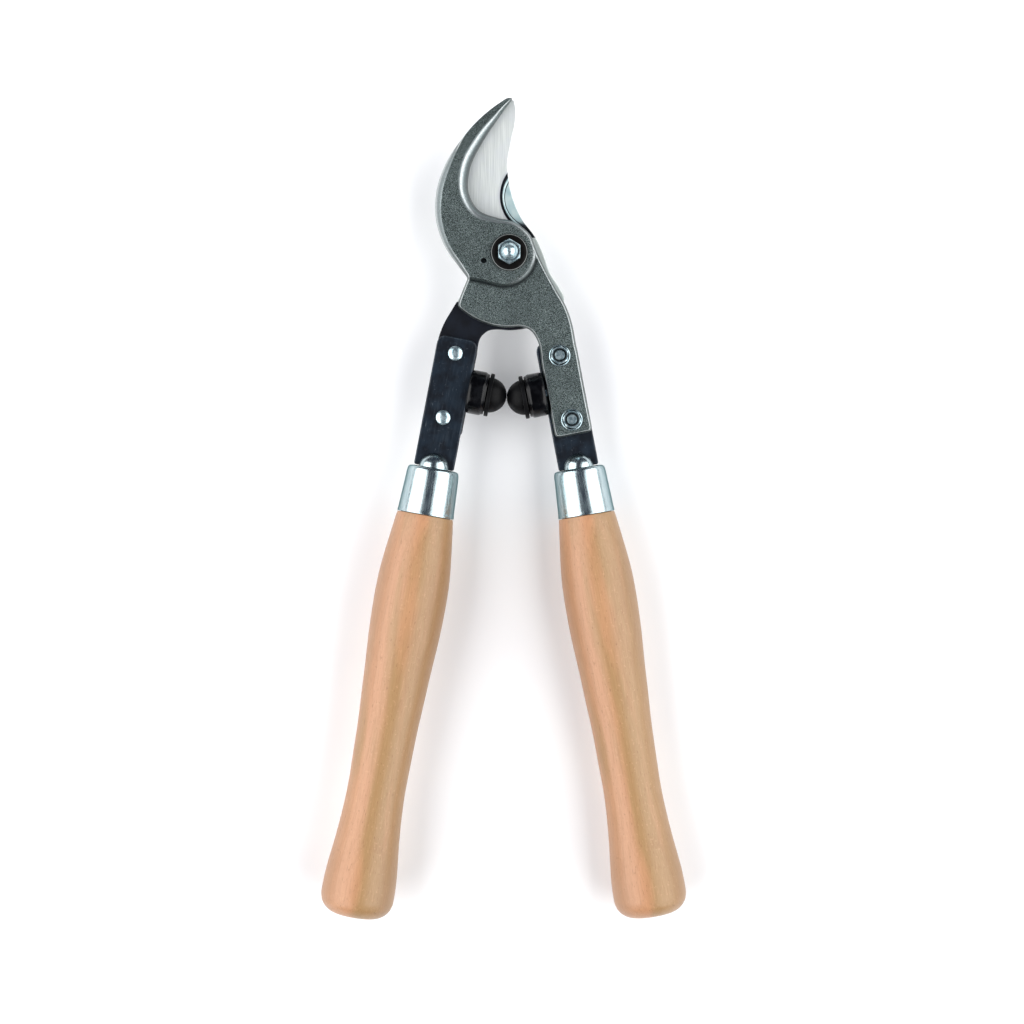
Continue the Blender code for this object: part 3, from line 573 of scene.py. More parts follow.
class BladeSteel(Finish):
    """Ground tool steel: fine lines left by the wheel along the blade, black oxide left where it isn't ground."""

    def shader(self, graph: Graph) -> Any:
        """Masks in the pivot's frame split ground face, relief, its two grooves and the coated tang.

        The grooves are painted dark with the oxide colour as shade, and a band just outside the relief is painted
        shade.
        """
        where = graph.local(self.place)
        lines = graph.noise(graph.local(self.place, (5.5, 0.06, 5.5)), 1.0, 2.0)
        cloud = graph.noise(where, 0.14, 2.0)
        face = graph.blend(graph.ramp(lines, 0.3, 0.7), colour("C3C8C6"), colour("E3E7E4"))
        face = graph.blend(graph.ramp(cloud, 0.4, 0.65, 0.0, 0.35), face, colour("D2D6DA"))

        axes = graph.add("ShaderNodeSeparateXYZ", {0: where})
        reach = []
        for centre in (CuttingBlade.relief_centre, CuttingBlade.floor_centre):
            flat = graph.add("ShaderNodeVectorMath", {0: where, 1: (1, 1, 0)}, operation="MULTIPLY").outputs[0]
            inputs = {0: flat, 1: (*centre, 0)}
            reach.append(graph.add("ShaderNodeVectorMath", inputs, operation="DISTANCE").outputs["Value"])
        wall = graph.sum("SUBTRACT", CuttingBlade.relief_radius, reach[0])
        floor = graph.sum("SUBTRACT", reach[1], CuttingBlade.floor_radius)
        total = graph.sum("MAXIMUM", graph.sum("ADD", wall, floor), 0.2)
        share = graph.sum("DIVIDE", wall, total)
        front = graph.ramp(axes.outputs[2], -1.6, -1.2)
        blue = graph.blend(graph.ramp(cloud, 0.35, 0.65), colour("9DB7BB"), colour("BACCCC"))
        # Painted shade: a purple-grey band that deepens towards the relief wall, just outside it.
        face = graph.blend(graph.ramp(wall, -1.6, 0.0, 0.0, 0.4), face, colour("A8A8B4"))
        relief = graph.sum("MULTIPLY", graph.ramp(wall, 0.0, 0.12), front)
        face = graph.blend(relief, face, blue)
        # Painted shade: the two grooves round the relief are darkened with the oxide colour.
        dark = graph.sum("MULTIPLY", graph.ramp(share, 0.0, 0.08), graph.ramp(share, 0.5, 0.62, 1.0, 0.0))
        second = graph.sum("MULTIPLY", graph.ramp(share, 0.84, 0.9), graph.ramp(share, 1.0, 1.1, 1.0, 0.0))
        grooves = graph.sum("MULTIPLY", graph.sum("MAXIMUM", dark, second), relief)

        coated = graph.ramp(axes.outputs[1], -23.4, -23.0, 1.0, 0.0)
        patch = graph.sum("MULTIPLY", graph.ramp(axes.outputs[1], 7.8, 8.0), graph.ramp(axes.outputs[1], 13.5, 17, 1, 0))
        patch = graph.sum("MULTIPLY", patch, graph.ramp(axes.outputs[0], 2.0, 5.5))
        black = graph.sum("MAXIMUM", graph.sum("MAXIMUM", coated, patch), grooves)
        oxide = graph.blend(graph.ramp(cloud, 0.3, 0.7), colour("0A0D16"), colour("141A25"))
        strip = graph.sum("MULTIPLY", graph.ramp(axes.outputs[0], 11.5, 12.5), graph.ramp(axes.outputs[1], 7.8, 8.0, 1, 0))
        face = graph.blend(graph.sum("MULTIPLY", strip, 0.55), face, colour("AFBBB6"))
        face = graph.blend(black, face, oxide)
        bump = graph.add("ShaderNodeBump", {"Strength": 0.5, "Distance": 0.00003, "Height": lines})
        inputs = {
            "Base Color": face,
            "Metallic": graph.ramp(black, 0.0, 1.0, 0.35, 0.5),
            "Roughness": graph.ramp(black, 0.0, 1.0, 0.42, 0.4),
            "Normal": bump.outputs[0],
        }
        return graph.add("ShaderNodeBsdfPrincipled", inputs)


class BlackOxide(Finish):
    """Cold-rolled bar blackened in a hot bath: blue-black and satin, with pale rubs along it and scratches."""

    def shader(self, graph: Graph) -> Any:
        """Cloudy tone, long rubs, and sparse scratches that run two ways."""
        where = graph.local(self.place)
        cloud = graph.noise(where, 0.16, 3.0)
        rubs = graph.noise(graph.local(self.place, (2.2, 0.13, 2.2)), 1.0, 3.0)
        skin = graph.blend(graph.ramp(cloud, 0.32, 0.68), colour("10161F"), colour("1C2834"))
        skin = graph.blend(graph.ramp(rubs, 0.56, 0.74, 0.0, 0.35), skin, colour("38424B"))
        for stretch, most in (((3.4, 0.32, 1.0), 0.7), ((0.5, 2.6, 1.0), 0.45)):
            scratch = graph.noise(graph.local(self.place, stretch), 1.0, 1.0, 0.6)
            skin = graph.blend(graph.ramp(scratch, 0.72, 0.78, 0.0, most), skin, colour("6E7880"))
        edge = graph.add("ShaderNodeAttribute", {}, attribute_name="edge").outputs["Fac"]
        skin = graph.blend(graph.sum("MULTIPLY", edge, graph.ramp(rubs, 0.4, 0.6, 0.15, 0.6)), skin, colour("8C969C"))
        bump = graph.add("ShaderNodeBump", {"Strength": 0.35, "Distance": 0.00008, "Height": cloud})
        inputs = {
            "Base Color": skin,
            "Metallic": 0.55,
            "Roughness": graph.ramp(rubs, 0.3, 0.7, 0.34, 0.46),
            "Normal": bump.outputs[0],
        }
        return graph.add("ShaderNodeBsdfPrincipled", inputs)


class ZincPlate(Finish):
    """Blue-white bright zinc on turned steel, a little cloudy."""

    def shader(self, graph: Graph) -> Any:
        """Cloud in the colour and in the roughness, and painted shade where the seam mark is set."""
        cloud = graph.noise(graph.local(self.place), 0.5, 2.0)
        bump = graph.add("ShaderNodeBump", {"Strength": 0.12, "Distance": 0.00005, "Height": cloud})
        # Painted shade round bores and at the hexagon's foot, from the seam mark.
        painted_shade = graph.add("ShaderNodeAttribute", {}, attribute_name="seam").outputs["Fac"]
        skin = graph.blend(graph.ramp(cloud, 0.35, 0.65), colour("A0BAC2"), colour("C8DADE"))
        inputs = {
            "Base Color": graph.blend(graph.ramp(painted_shade, 0.05, 0.75, 0.0, 0.95), skin, colour("1A2226")),
            "Metallic": 0.85,
            "Roughness": graph.ramp(cloud, 0.3, 0.7, 0.2, 0.32),
            "Normal": bump.outputs[0],
        }
        return graph.add("ShaderNodeBsdfPrincipled", inputs)


class NickelPlate(Finish):
    """Bright nickel on a deep-drawn sheet cap: a mirror with faint draw lines along it."""

    def shader(self, graph: Graph) -> Any:
        """Draw lines and a slow waviness bend the reflections a little."""
        draw = graph.noise(graph.local(self.place, (1.6, 0.09, 1.6)), 1.0, 3.0)
        wave = graph.noise(graph.local(self.place), 0.12, 1.0)
        height = graph.sum("ADD", graph.sum("MULTIPLY", draw, 0.16), wave)
        bump = graph.add("ShaderNodeBump", {"Strength": 0.2, "Distance": 0.00035, "Height": height})
        inputs = {
            "Base Color": graph.blend(graph.ramp(draw, 0.4, 0.7), colour("B4C2C5"), colour("A0B2B6")),
            "Metallic": 1.0,
            "Specular Tint": colour("7E9A9C"),
            "Roughness": graph.ramp(draw, 0.35, 0.7, 0.2, 0.3),
            "Normal": bump.outputs[0],
        }
        return graph.add("ShaderNodeBsdfPrincipled", inputs)


class SpringSteel(Finish):
    """Oiled spring steel, brown-black, with a painted highlight round its rim."""

    def shader(self, graph: Graph) -> Any:
        """Cloudy brown, and a painted highlight ring by distance from the pivot's axis."""
        where = graph.local(self.place)
        cloud = graph.noise(where, 0.5, 3.0)
        flat = graph.add("ShaderNodeVectorMath", {0: where, 1: (1, 1, 0)}, operation="MULTIPLY").outputs[0]
        radius = graph.add("ShaderNodeVectorMath", {0: flat}, operation="LENGTH").outputs["Value"]
        skin = graph.blend(graph.ramp(cloud, 0.35, 0.65), colour("050505"), colour("0D0B0A"))
        # Painted highlight: a thin pale ring where the washer's rounded rim would catch the light.
        ring = graph.sum("MULTIPLY", graph.ramp(radius, 8.4, 8.5), graph.ramp(radius, 8.66, 8.76, 1.0, 0.0))
        skin = graph.blend(graph.sum("MULTIPLY", ring, 0.6), skin, colour("A4AAA8"))
        bump = graph.add("ShaderNodeBump", {"Strength": 0.4, "Distance": 0.0001, "Height": cloud})
        inputs = {"Base Color": skin, "Metallic": 0.1, "Roughness": 0.45, "Specular IOR Level": 0.08, "Normal": bump.outputs[0]}
        return graph.add("ShaderNodeBsdfPrincipled", inputs)


class Beech(Finish):
    """Turned beech in clear satin lacquer: fine rings, short dark pores and ray flecks along the grain."""

    def shader(self, graph: Graph) -> Any:
        """The grain runs along Y of the grip's frame. Rings are bands of the distance from a pith beside the grip."""
        where = graph.local(self.place)
        warp = graph.noise(graph.local(self.place, (0.05, 0.008, 0.05)), 1.0, 2.0)
        flat = graph.add("ShaderNodeVectorMath", {0: where, 1: (1, 0.02, 1)}, operation="MULTIPLY").outputs[0]
        inputs = {0: flat, 1: (-22.0, 0, -64.0)}
        pith = graph.add("ShaderNodeVectorMath", inputs, operation="DISTANCE").outputs["Value"]
        rings = graph.sum("ADD", graph.sum("MULTIPLY", pith, 0.42), graph.sum("MULTIPLY", warp, 5.0))
        band = graph.sum("FRACT", rings, 0.0)
        axes = graph.add("ShaderNodeSeparateXYZ", {0: where})
        tone = graph.noise(graph.local(self.place, (0.11, 0.012, 0.11)), 1.0, 2.0)
        # Painted light: a paler, pinker -X side and a darker tan +X side, mixed with real tone variation along the
        # grain.
        lateral = graph.sum("ADD", graph.ramp(axes.outputs[0], -11, 11, -0.2, 0.2), tone)
        wood = graph.blend(graph.ramp(lateral, 0.3, 0.66), colour("B98762"), colour("9F7C52"))
        wood = graph.blend(graph.ramp(band, 0.55, 0.98, 0.0, 0.12), wood, colour("8F5F3A"))
        fibre = graph.noise(graph.local(self.place, (2.6, 0.09, 2.6)), 1.0, 3.0)
        wood = graph.blend(graph.ramp(fibre, 0.5, 0.75, 0.0, 0.36), wood, colour("8E6340"))
        wood = graph.blend(graph.ramp(fibre, 0.46, 0.25, 0.0, 0.3), wood, colour("C99C75"))
        fleck = graph.noise(graph.local(self.place, (1.7, 0.42, 1.7)), 1.0, 1.0)
        wood = graph.blend(graph.ramp(fleck, 0.64, 0.76, 0.0, 0.45), wood, colour("7C5534"))
        ray = graph.noise(graph.local(self.place, (0.9, 0.7, 0.9)), 1.0, 2.0)
        wood = graph.blend(graph.ramp(ray, 0.6, 0.74, 0.0, 0.3), wood, colour("CB9F78"))
        streak = graph.noise(graph.local(self.place, (0.42, 0.035, 0.42)), 1.0, 1.0)
        wood = graph.blend(graph.ramp(streak, 0.755, 0.79, 0.0, 0.6), wood, colour("5A3E2E"))
        # Painted shade: the grip darkens towards both flanks, |X| from 7 to 17 mm.
        flank = graph.ramp(graph.sum("ABSOLUTE", axes.outputs[0], 0.0), 7.0, 17.0, 0.0, 0.5)
        wood = graph.blend(flank, wood, colour("7A5A3C"))
        bump = graph.add("ShaderNodeBump", {"Strength": 0.25, "Distance": 0.00006, "Height": fibre})
        inputs = {
            "Base Color": wood,
            "Roughness": graph.ramp(fibre, 0.3, 0.75, 0.4, 0.52),
            "Coat Weight": 0.22,
            "Coat Roughness": 0.3,
            "Normal": bump.outputs[0],
        }
        return graph.add("ShaderNodeBsdfPrincipled", inputs)


class GlossBlack(Finish):
    """Injection-moulded black nylon, glossy, with the slight sink of a thick moulding."""

    def shader(self, graph: Graph) -> Any:
        """A slow waviness and a few dull rubs."""
        wave = graph.noise(graph.local(self.place), 0.25, 2.0)
        bump = graph.add("ShaderNodeBump", {"Strength": 0.3, "Distance": 0.0002, "Height": wave})
        inputs = {
            "Base Color": graph.blend(graph.ramp(wave, 0.4, 0.7), colour("040405"), colour("0A0B0E")),
            "Roughness": graph.ramp(wave, 0.35, 0.7, 0.16, 0.28),
            "Specular IOR Level": 0.25,
            "Normal": bump.outputs[0],
        }
        return graph.add("ShaderNodeBsdfPrincipled", inputs)


class Rubber(Finish):
    """Moulded black rubber: dull, with a fine eggshell skin of 0.4 mm and grey bloom."""

    def shader(self, graph: Graph) -> Any:
        """Skin grain in the bump, bloom in the colour."""
        where = graph.local(self.place)
        skin = graph.noise(where, 2.4, 2.0)
        bloom = graph.noise(where, 0.2, 3.0)
        bump = graph.add("ShaderNodeBump", {"Strength": 0.4, "Distance": 0.00005, "Height": skin})
        inputs = {
            "Base Color": graph.blend(graph.ramp(bloom, 0.4, 0.7), colour("030304"), colour("0A0B0D")),
            "Roughness": graph.ramp(skin, 0.3, 0.7, 0.42, 0.56),
            "Specular IOR Level": 0.12,
            "Normal": bump.outputs[0],
        }
        return graph.add("ShaderNodeBsdfPrincipled", inputs)


class PaleFloor(Finish):
    """Matt white laminate."""

    def shader(self, graph: Graph) -> Any:
        """A little variation, so that it isn't one flat value."""
        cloud = graph.noise(graph.local(self.place), 0.02, 2.0)
        white = graph.blend(graph.ramp(cloud, 0.3, 0.7), colour("F9F9FA"), colour("FCFCFC"))
        return graph.add("ShaderNodeBsdfPrincipled", {"Base Color": white, "Roughness": 0.7})


# ---------------------------------------------------------------- layout


class Layer:
    """Heights along Z from the sliding plane of the two forgings."""

    FRONT = 0.15
    HOOK_TOP = 8.15
    TANG_TOP = 5.15
    BLADE_BACK = -4.15
    BAR_MIDDLE = 2.65
    BAR_TOP = 5.15
    FIT = 0.3


class Side(Enum):
    """Which lever: the hook forging's on the right, or the blade's on the left."""

    RIGHT = 1
    LEFT = -1


@dataclass(frozen=True)
class Lever:
    """One lever's frame. Its origin is on the bar's middle line beside the upper bolt, with +Y up the bar.

    Attributes:
        side: which lever.
        body: the CAD body that it belongs to.
        pivot: the pivot's frame in the row frame.
        origin: the lever's origin in the pivot's frame.
        tilt: the bar's lean in degrees.
        grip_tilt: the grip's lean in degrees.
        bolt_x: how far the bolts are from the middle line.
        ferrule: how far down the bar the crown of the ferrule is.
    """

    side: Side
    body: str
    pivot: Array
    origin: tuple[float, float]
    tilt: float
    grip_tilt: float
    bolt_x: float
    ferrule: float

    @property
    def name(self) -> str:
        """right or left."""
        return self.side.name.lower()

    def frame(self) -> Array:
        """The lever's frame in the row frame."""
        return self.pivot @ shift(*self.origin, 0) @ turn("Z", self.side.value * self.tilt)

    def grip(self) -> Array:
        """The grip's frame: +Y up the handle, with the ferrule's crown at Y 0."""
        bend = self.side.value * (self.grip_tilt - self.tilt)
        return self.frame() @ shift(0, -self.ferrule, -self.side.value * Layer.BAR_MIDDLE) @ turn("Z", bend)

    def point(self, x: float, y: float) -> tuple[float, float]:
        """A point of the lever's frame in the pivot's frame. There x grows away from the other lever."""
        lean = math.radians(self.side.value * self.tilt)
        across = self.side.value * x
        return (
            self.origin[0] + across * math.cos(lean) - y * math.sin(lean),
            self.origin[1] + across * math.sin(lean) + y * math.cos(lean),
        )

    def tang(self, inner: float, outer: float, reach_in: float, reach_out: float, rims: tuple[float, float]) -> list[Knot]:
        """A forging's tang, from its inner edge round its rounded end to its outer edge, with a rim for each."""
        end = -39.0
        narrow, rim = rims
        inside_corner = Knot(*self.point(inner, end), narrow, 1.4, 2.2)
        outside_corner = Knot(*self.point(outer, end), (narrow + rim) / 2, 1.4, 2.2)
        inner_side = [Knot(*self.point(inner, y), narrow, 1.4) for y in (reach_in, reach_in - 9, -27)]
        outer_side = [Knot(*self.point(outer, y), rim, 1.4) for y in (-27, reach_out - 9, reach_out)]
        return [*inner_side, inside_corner, outside_corner, *outer_side]


# ---------------------------------------------------------------- head


def knots(*rows: tuple[float, ...], fullness: float = 1.4) -> list[Knot]:
    """Knots from rows of X, Y, rim and, at a corner, its rounding."""
    return [Knot(row[0], row[1], row[2], fullness, row[3] if len(row) > 3 else 0.0) for row in rows]


@dataclass(frozen=True)
class HookForging:
    """The counter blade: thick hook and boss, and the thinner lobe and tang below a forged step."""

    lever: Lever
    boss_centre = (-2.8, -0.5)
    boss_radius = 14.6
    step_width = 1.5
    oil_hole = (-12.3, -4.0)

    def outline(self) -> Array:
        """The outline from the tip down the outer side, round the tang and back along the inner edge."""
        outer = knots(
            (1.8, 75.5, 0.25, 0.9),
            (-1.0, 75.7, 0.3, 1.0),
            (-9.5, 69.9, 0.5),
            (-22.1, 57.0, 0.6),
            (-29.9, 45.7, 2.7),
            (-35.2, 31.4, 3.2),
            (-35.7, 17.1, 2.9),
            (-31.4, 3.8, 2.2),
            (-23.8, -7.1, 1.6),
            (-20.2, -11.8, 1.1, 0.8),
            (-22.6, -17.6, 1.2),
            (-24.2, -21.8, 1.2),
            (-25.3, -25.3, 1.2, 1.5),
        )
        lobe = [Knot(x, y, 0.7, 1.4) for x, y in arc((0, 0), 35.8, 228, 278, 9).tolist()]
        throat = knots((10.8, -37.6, 0.7), (13.4, -41.6, 0.75))
        tang = self.lever.tang(-8.6, 9.85, -4.0, 0.0, (0.75, 1.3))
        flank = knots(
            (32.55, -44.7, 1.3),
            (30.45, -33.7, 1.3),
            (28.0, -26.5, 1.3),
            (22.4, -16.7, 1.2),
            (15.8, -4.2, 1.2),
            (12.9, 2.5, 1.4),
            (10.6, 8.6, 1.6),
            (6.5, 12.9, 1.7),
        )
        inner = knots(
            (2.2, 15.5, 2.2),
            (-6.1, 17.6, 3.2),
            (-14.8, 21.2, 4.2),
            (-19.5, 29.0, 4.5),
            (-19.1, 41.2, 4.6),
            (-13.0, 54.2, 3.9),
            (-4.3, 67.2, 1.9),
            fullness=2.0,
        )
        return outline([*outer, *lobe, *throat, *tang, *flank, *inner], 0.55)

    def step(self, offset: float) -> Array:
        """The top of the forged step under the boss, moved outwards by offset."""
        line = np.array([(-24.0, -11.2), (-13.0, -12.9), (-6.0, -14.7)]) + (0.0, -offset)
        ring = arc(self.boss_centre, self.boss_radius + offset, -100, 62, 70)
        return np.vstack([flowing(line, 0.7)[:-2], ring])

    def face(self, points: Array) -> Array:
        """The front: level over the boss, falling 4 mm to the tip, and 3 mm lower outside the step."""
        z = Layer.HOOK_TOP - 4.0 * np.clip((points[:, 1] - 29.0) / 46.7, 0, 1)
        path = self.step(0)
        closed = np.vstack([path, [(4.0, 90.0), (-90.0, 90.0), (-90.0, -11.2)]])
        outside = np.where(inside(points, closed), 0.0, distance(points, path))
        return z - 3.0 * ease(outside / self.step_width) ** 0.85

    def step_light_and_shade(self, points: Array) -> tuple[Array, Array]:
        """A painted highlight bell on the step's top, fading round the lower side, and painted shade at its foot."""
        path = self.step(0)
        closed = np.vstack([path, [(4.0, 90.0), (-90.0, 90.0), (-90.0, -11.2)]])
        away = distance(points, path)
        signed = np.where(inside(points, closed), -away, away)
        bearing = np.degrees(np.arctan2(points[:, 1] - self.boss_centre[1], points[:, 0] - self.boss_centre[0]))
        bright = np.exp(-(((signed - 0.3) / 0.5) ** 2)) * ease((bearing + 95) / 60)
        return bright, np.exp(-(((signed - 1.45) / 0.6) ** 2)) * ease(signed / 0.8) * ease((15 - bearing) / 20)

    def build(self, finish: Finish) -> Any:
        """Makes the forging."""
        rows = self.outline()
        holes = [arc((0, 0), 3.3, 0, 350, 36), arc(self.oil_hole, 1.35, 0, 340, 18)]
        plate = Plate(
            rows=rows,
            front=self.face,
            back=lambda p: np.full(len(p), Layer.FRONT),
            base=lambda p: np.full(len(p), Layer.FRONT + 0.6),
            back_rim=0.25,
            back_edge=lambda p: np.full(len(p), Layer.FRONT + 0.2),
            holes=holes,
            front_lines=[self.step(offset) for offset in (-0.4, 0.0, 0.35, 0.75, 1.15, 1.5)],
            spacing=1.3,
            cap_light_and_shade=self.step_light_and_shade,
        )
        return plate.shape().build("hook forging", finish, self.lever.body, self.lever.pivot, ["hook_forging"], 40)


@dataclass(frozen=True)
class CuttingBlade:
    """The blade, its hub and its tang: one plate with a hollow-ground relief, ground to an edge at the back."""

    lever: Lever
    relief_centre = (14.7, 28.3)
    relief_radius = 19.4
    floor_centre = (12.2, 27.6)
    floor_radius = 14.4
    slope = 7.0

    def outline(self) -> Array:
        """The outline from the tip down the cutting edge, round the tang and hub, and up the back."""
        cutting = knots(
            (2.05, 75.3, 0.2, 0.9),
            (-2.4, 72.4, 0.25),
            (-10.0, 63.5, 0.25),
            (-17.6, 53.0, 0.25),
            (-22.4, 43.0, 0.25),
            (-23.6, 32.0, 0.25),
            (-21.0, 20.0, 0.25),
            (-17.0, 9.0, 0.3),
            (-16.5, -1.0, 0.3),
            (-20.0, -13.0, 0.3),
            (-27.4, -26.2, 0.3),
            (-31.6, -33.4, 0.3),
        )
        tang = self.lever.tang(-10.2, 9.6, 0.0, 7.0, (0.35, 0.35))[::-1]
        throat = knots((-13.0, -39.2, 0.3), (-10.0, -37.0, 0.3))
        hub = [Knot(x, y, 0.3) for x, y in arc((0, 0), 36.8, 262, 314, 9).tolist()]
        hub[-1] = Knot(hub[-1].x, hub[-1].y, 0.3, 1.6, 1.0)
        back = knots(
            (26.7, -21.4, 0.3),
            (24.8, -17.4, 0.3),
            (19.7, -9.1, 0.3),
            (16.9, -1.2, 0.3),
            (12.6, 8.1, 0.3),
            (5.8, 17.3, 0.3),
            (0.4, 31.5, 0.3),
            (-0.9, 42.5, 0.3),
            (1.0, 55.0, 0.3),
            (3.1, 66.0, 0.3),
            (3.0, 71.4, 0.3),
        )
        return outline([*cutting, *tang, *throat, *hub, *back], 0.55)

    def relief(self, points: Array) -> tuple[Array, Array]:
        """How far points are inside the first circle, and their share of the way to the second circle."""
        wall = self.relief_radius - np.linalg.norm(points[:, :2] - self.relief_centre, axis=1)
        floor = np.linalg.norm(points[:, :2] - self.floor_centre, axis=1) - self.floor_radius
        return wall, wall / np.maximum(wall + floor, 0.2)

    def face(self, points: Array) -> Array:
        """The ground face, with two shallow grooves and the ridge between them round the relief."""
        wall, share = self.relief(points)
        drop = np.interp(share, (0, 0.12, 0.25, 0.45, 0.7, 0.85, 0.95, 1.05), (0, 0.6, 0.9, 0.55, 0.1, 0.3, 0.5, 0.35))
        return -Layer.FRONT - np.where(wall > 0, drop, 0) * ease(wall / 0.5)

    def behind(self, points: Array) -> Array:
        """The back: flat, and ground to the cutting edge over the last 7 mm."""
        path = self.edge_path()
        return Layer.BLADE_BACK + 3.5 * np.clip(1 - distance(points, path) / self.slope, 0, 1)

    def edge_path(self) -> Array:
        """The cutting edge, run out past the heel and past the tip."""
        rows = (
            (-24.0, 7.0),
            (-21.0, 20.0),
            (-23.6, 32.0),
            (-22.4, 43.0),
            (-17.6, 53.0),
            (-10.0, 63.5),
            (1.4, 73.2),
            (8.4, 79.7),
        )
        return flowing(np.array(rows), 1.0)

    def build(self, finish: Finish) -> Any:
        """Makes the blade."""
        rows = self.outline()
        path = self.edge_path()
        normal = np.gradient(path, axis=0)
        normal = np.stack([normal[:, 1], -normal[:, 0]], axis=1) / np.linalg.norm(normal, axis=1)[:, None]
        contours = []
        for share in (0.02, 0.12, 0.25, 0.45, 0.7, 0.85, 1.0):
            centre = tuple(np.array(self.relief_centre) * (1 - share) + np.array(self.floor_centre) * share)
            radius = self.relief_radius * (1 - share) + self.floor_radius * share
            contours.append(arc(centre, radius, 115, 250, 80))
        plate = Plate(
            rows=rows,
            front=self.face,
            back=self.behind,
            base=lambda p: np.full(len(p), -Layer.FRONT - 0.25),
            back_rim=0.3,
            back_edge=lambda p: self.behind(p) + 0.15,
            holes=[arc((0, 0), 3.3, 0, 350, 36)],
            front_lines=contours,
            back_lines=[path + normal * self.slope],
            spacing=1.1,
        )
        return plate.shape().build("cutting blade", finish, self.lever.body, self.lever.pivot, ["cutting_blade"], 25)


# ---------------------------------------------------------------- turned and hexagonal pieces


def rounded(*points: tuple[float, float, float], steps: int = 5) -> Array:
    """A profile of (radius, height) through points whose corners are rounded by the third number, a length."""
    rows = np.array(points)
    found = [rows[:1, :2]]
    for before, here, after in zip(rows[:-2], rows[1:-1], rows[2:]):
        if here[2] <= 0:
            found.append(here[None, :2])
            continue
        back, ahead = before[:2] - here[:2], after[:2] - here[:2]
        start = here[:2] + back / np.linalg.norm(back) * min(here[2], np.linalg.norm(back) / 2)
        end = here[:2] + ahead / np.linalg.norm(ahead) * min(here[2], np.linalg.norm(ahead) / 2)
        t = np.linspace(0, 1, steps + 1)[:, None]
        found.append((1 - t) ** 2 * start + 2 * t * (1 - t) * here[:2] + t**2 * end)
    found.append(rows[-1:, :2])
    return np.vstack(found)


def hexagon(flats: float, bottom: float, top: float, chamfer: float, both: bool, bore: float) -> Array:
    """A chamfered hexagonal prism as a grid: at each height the radius is the lesser of hexagon and cone.

    Args:
        flats: distance across flats.
        bottom: its lower face.
        top: its upper face.
        chamfer: how deep the cone cuts the corners.
        both: whether the lower face is chamfered too.
        bore: radius of the hole, or 0 for none.

    Returns:
        Points as (rows, columns, 3), corners on the local X axis.
    """
    angle = np.linspace(0, 2 * math.pi, 72, endpoint=False)
    across = flats / 2 / np.cos((angle % (math.pi / 3)) - math.pi / 6)
    slope = (flats / 2 / math.cos(math.pi / 6) - flats / 2 * 0.97) / chamfer
    heights = [top - chamfer * share for share in (0, 0.25, 0.5, 0.75, 1.0)]
    heights += [bottom + chamfer * share for share in ((1.0, 0.75, 0.5, 0.25, 0) if both else (0.0,))]
    rows = [(np.full(72, bore), top)]
    for z in heights:
        room = min(top - z, z - bottom) if both else top - z
        rows.append((np.minimum(across, flats / 2 * 0.97 + slope * room), z))
    rows.append((np.full(72, bore), bottom))
    if bore > 0:
        rows.append((np.full(72, bore), top))
    return np.array([np.stack([r * np.cos(angle), r * np.sin(angle), np.full(72, z)], axis=-1) for r, z in rows])


def seam(prism: Array) -> Array:
    """Where painted shade sits on a nut: 1 round its bore, fading to 0 at its chamfer, as (rows, 1)."""
    mark = np.zeros((len(prism), 1))
    mark[0] = mark[-1] = 1.0
    return mark


@dataclass(frozen=True)
class PivotSet:
    """The pivot's fasteners: dished washer and dome nut in front, flat washer and hexagon head behind."""

    lever: Lever
    bore = 3.3
    rim = 9.0
    flats = 10.6

    def build(self, washer: Finish, zinc: Finish) -> None:
        """Makes the four pieces."""
        low, high = Layer.HOOK_TOP + 0.3, Layer.HOOK_TOP + 1.9
        dished = Shape()
        outer = rounded(
            (self.bore, high, 0),
            (7.3, high, 1.2),
            (self.rim, high - 0.75, 0.4),
            (self.rim, low, 0.2),
            (self.rim - 1.5, low, 0),
            (self.bore, low, 0),
            (self.bore, high, 0),
        )
        dished.revolve(outer, 96)
        self.put(dished, "spring washer", washer, "pivot_spring_washer")

        nut_low, nut_high = high + 0.3, high + 5.3
        nut = Shape()
        prism = moved(hexagon(self.flats, nut_low, nut_high, 0.9, True, self.bore), turn("Z", 30))
        nut.grid(prism, marks={"seam": seam(prism)})
        angle = np.radians(np.linspace(0, 90, 14))
        ball = np.stack([4.15 * np.sin(angle), nut_high - 0.1 + 4.25 * np.cos(angle)], axis=1)
        foot = rounded((4.15, nut_high - 0.1, 0), (4.15, nut_high - 0.8, 0), (0, nut_high - 0.8, 0))
        dome = Shape()
        dome.revolve(np.vstack([ball, foot]), 72)
        nut.add(np.vstack(dome.points), dome.faces)
        self.put(nut, "pivot dome nut", zinc, "pivot_nut")

        flat_top = Layer.BLADE_BACK - 0.3
        flat = Shape()
        flat.revolve(
            rounded(
                (self.bore, flat_top, 0),
                (self.rim, flat_top, 0.25),
                (self.rim, flat_top - 1.6, 0.25),
                (self.bore, flat_top - 1.6, 0),
                (self.bore, flat_top, 0),
            ),
            72,
        )
        self.put(flat, "pivot back washer", zinc, "pivot_back_washer")

        head_top = flat_top - 1.9
        head = Shape()
        head.grid(moved(hexagon(self.flats, head_top - 4, head_top, 0.9, True, 0), turn("Z", 30)))
        stem = Shape()
        stem.revolve(rounded((0, nut_high - 0.8, 0), (3.0, nut_high - 0.8, 0.4), (3.0, head_top - 1, 0), (0, head_top - 1, 0)), 40)
        head.add(np.vstack(stem.points), stem.faces)
        self.put(head, "pivot bolt", zinc, "pivot_bolt")

    def put(self, shape: Shape, name: str, finish: Finish, node: str) -> None:
        """Places a piece on the pivot's axis."""
        shape.build(name, finish, self.lever.body, self.lever.pivot, [node])


# ---------------------------------------------------------------- levers


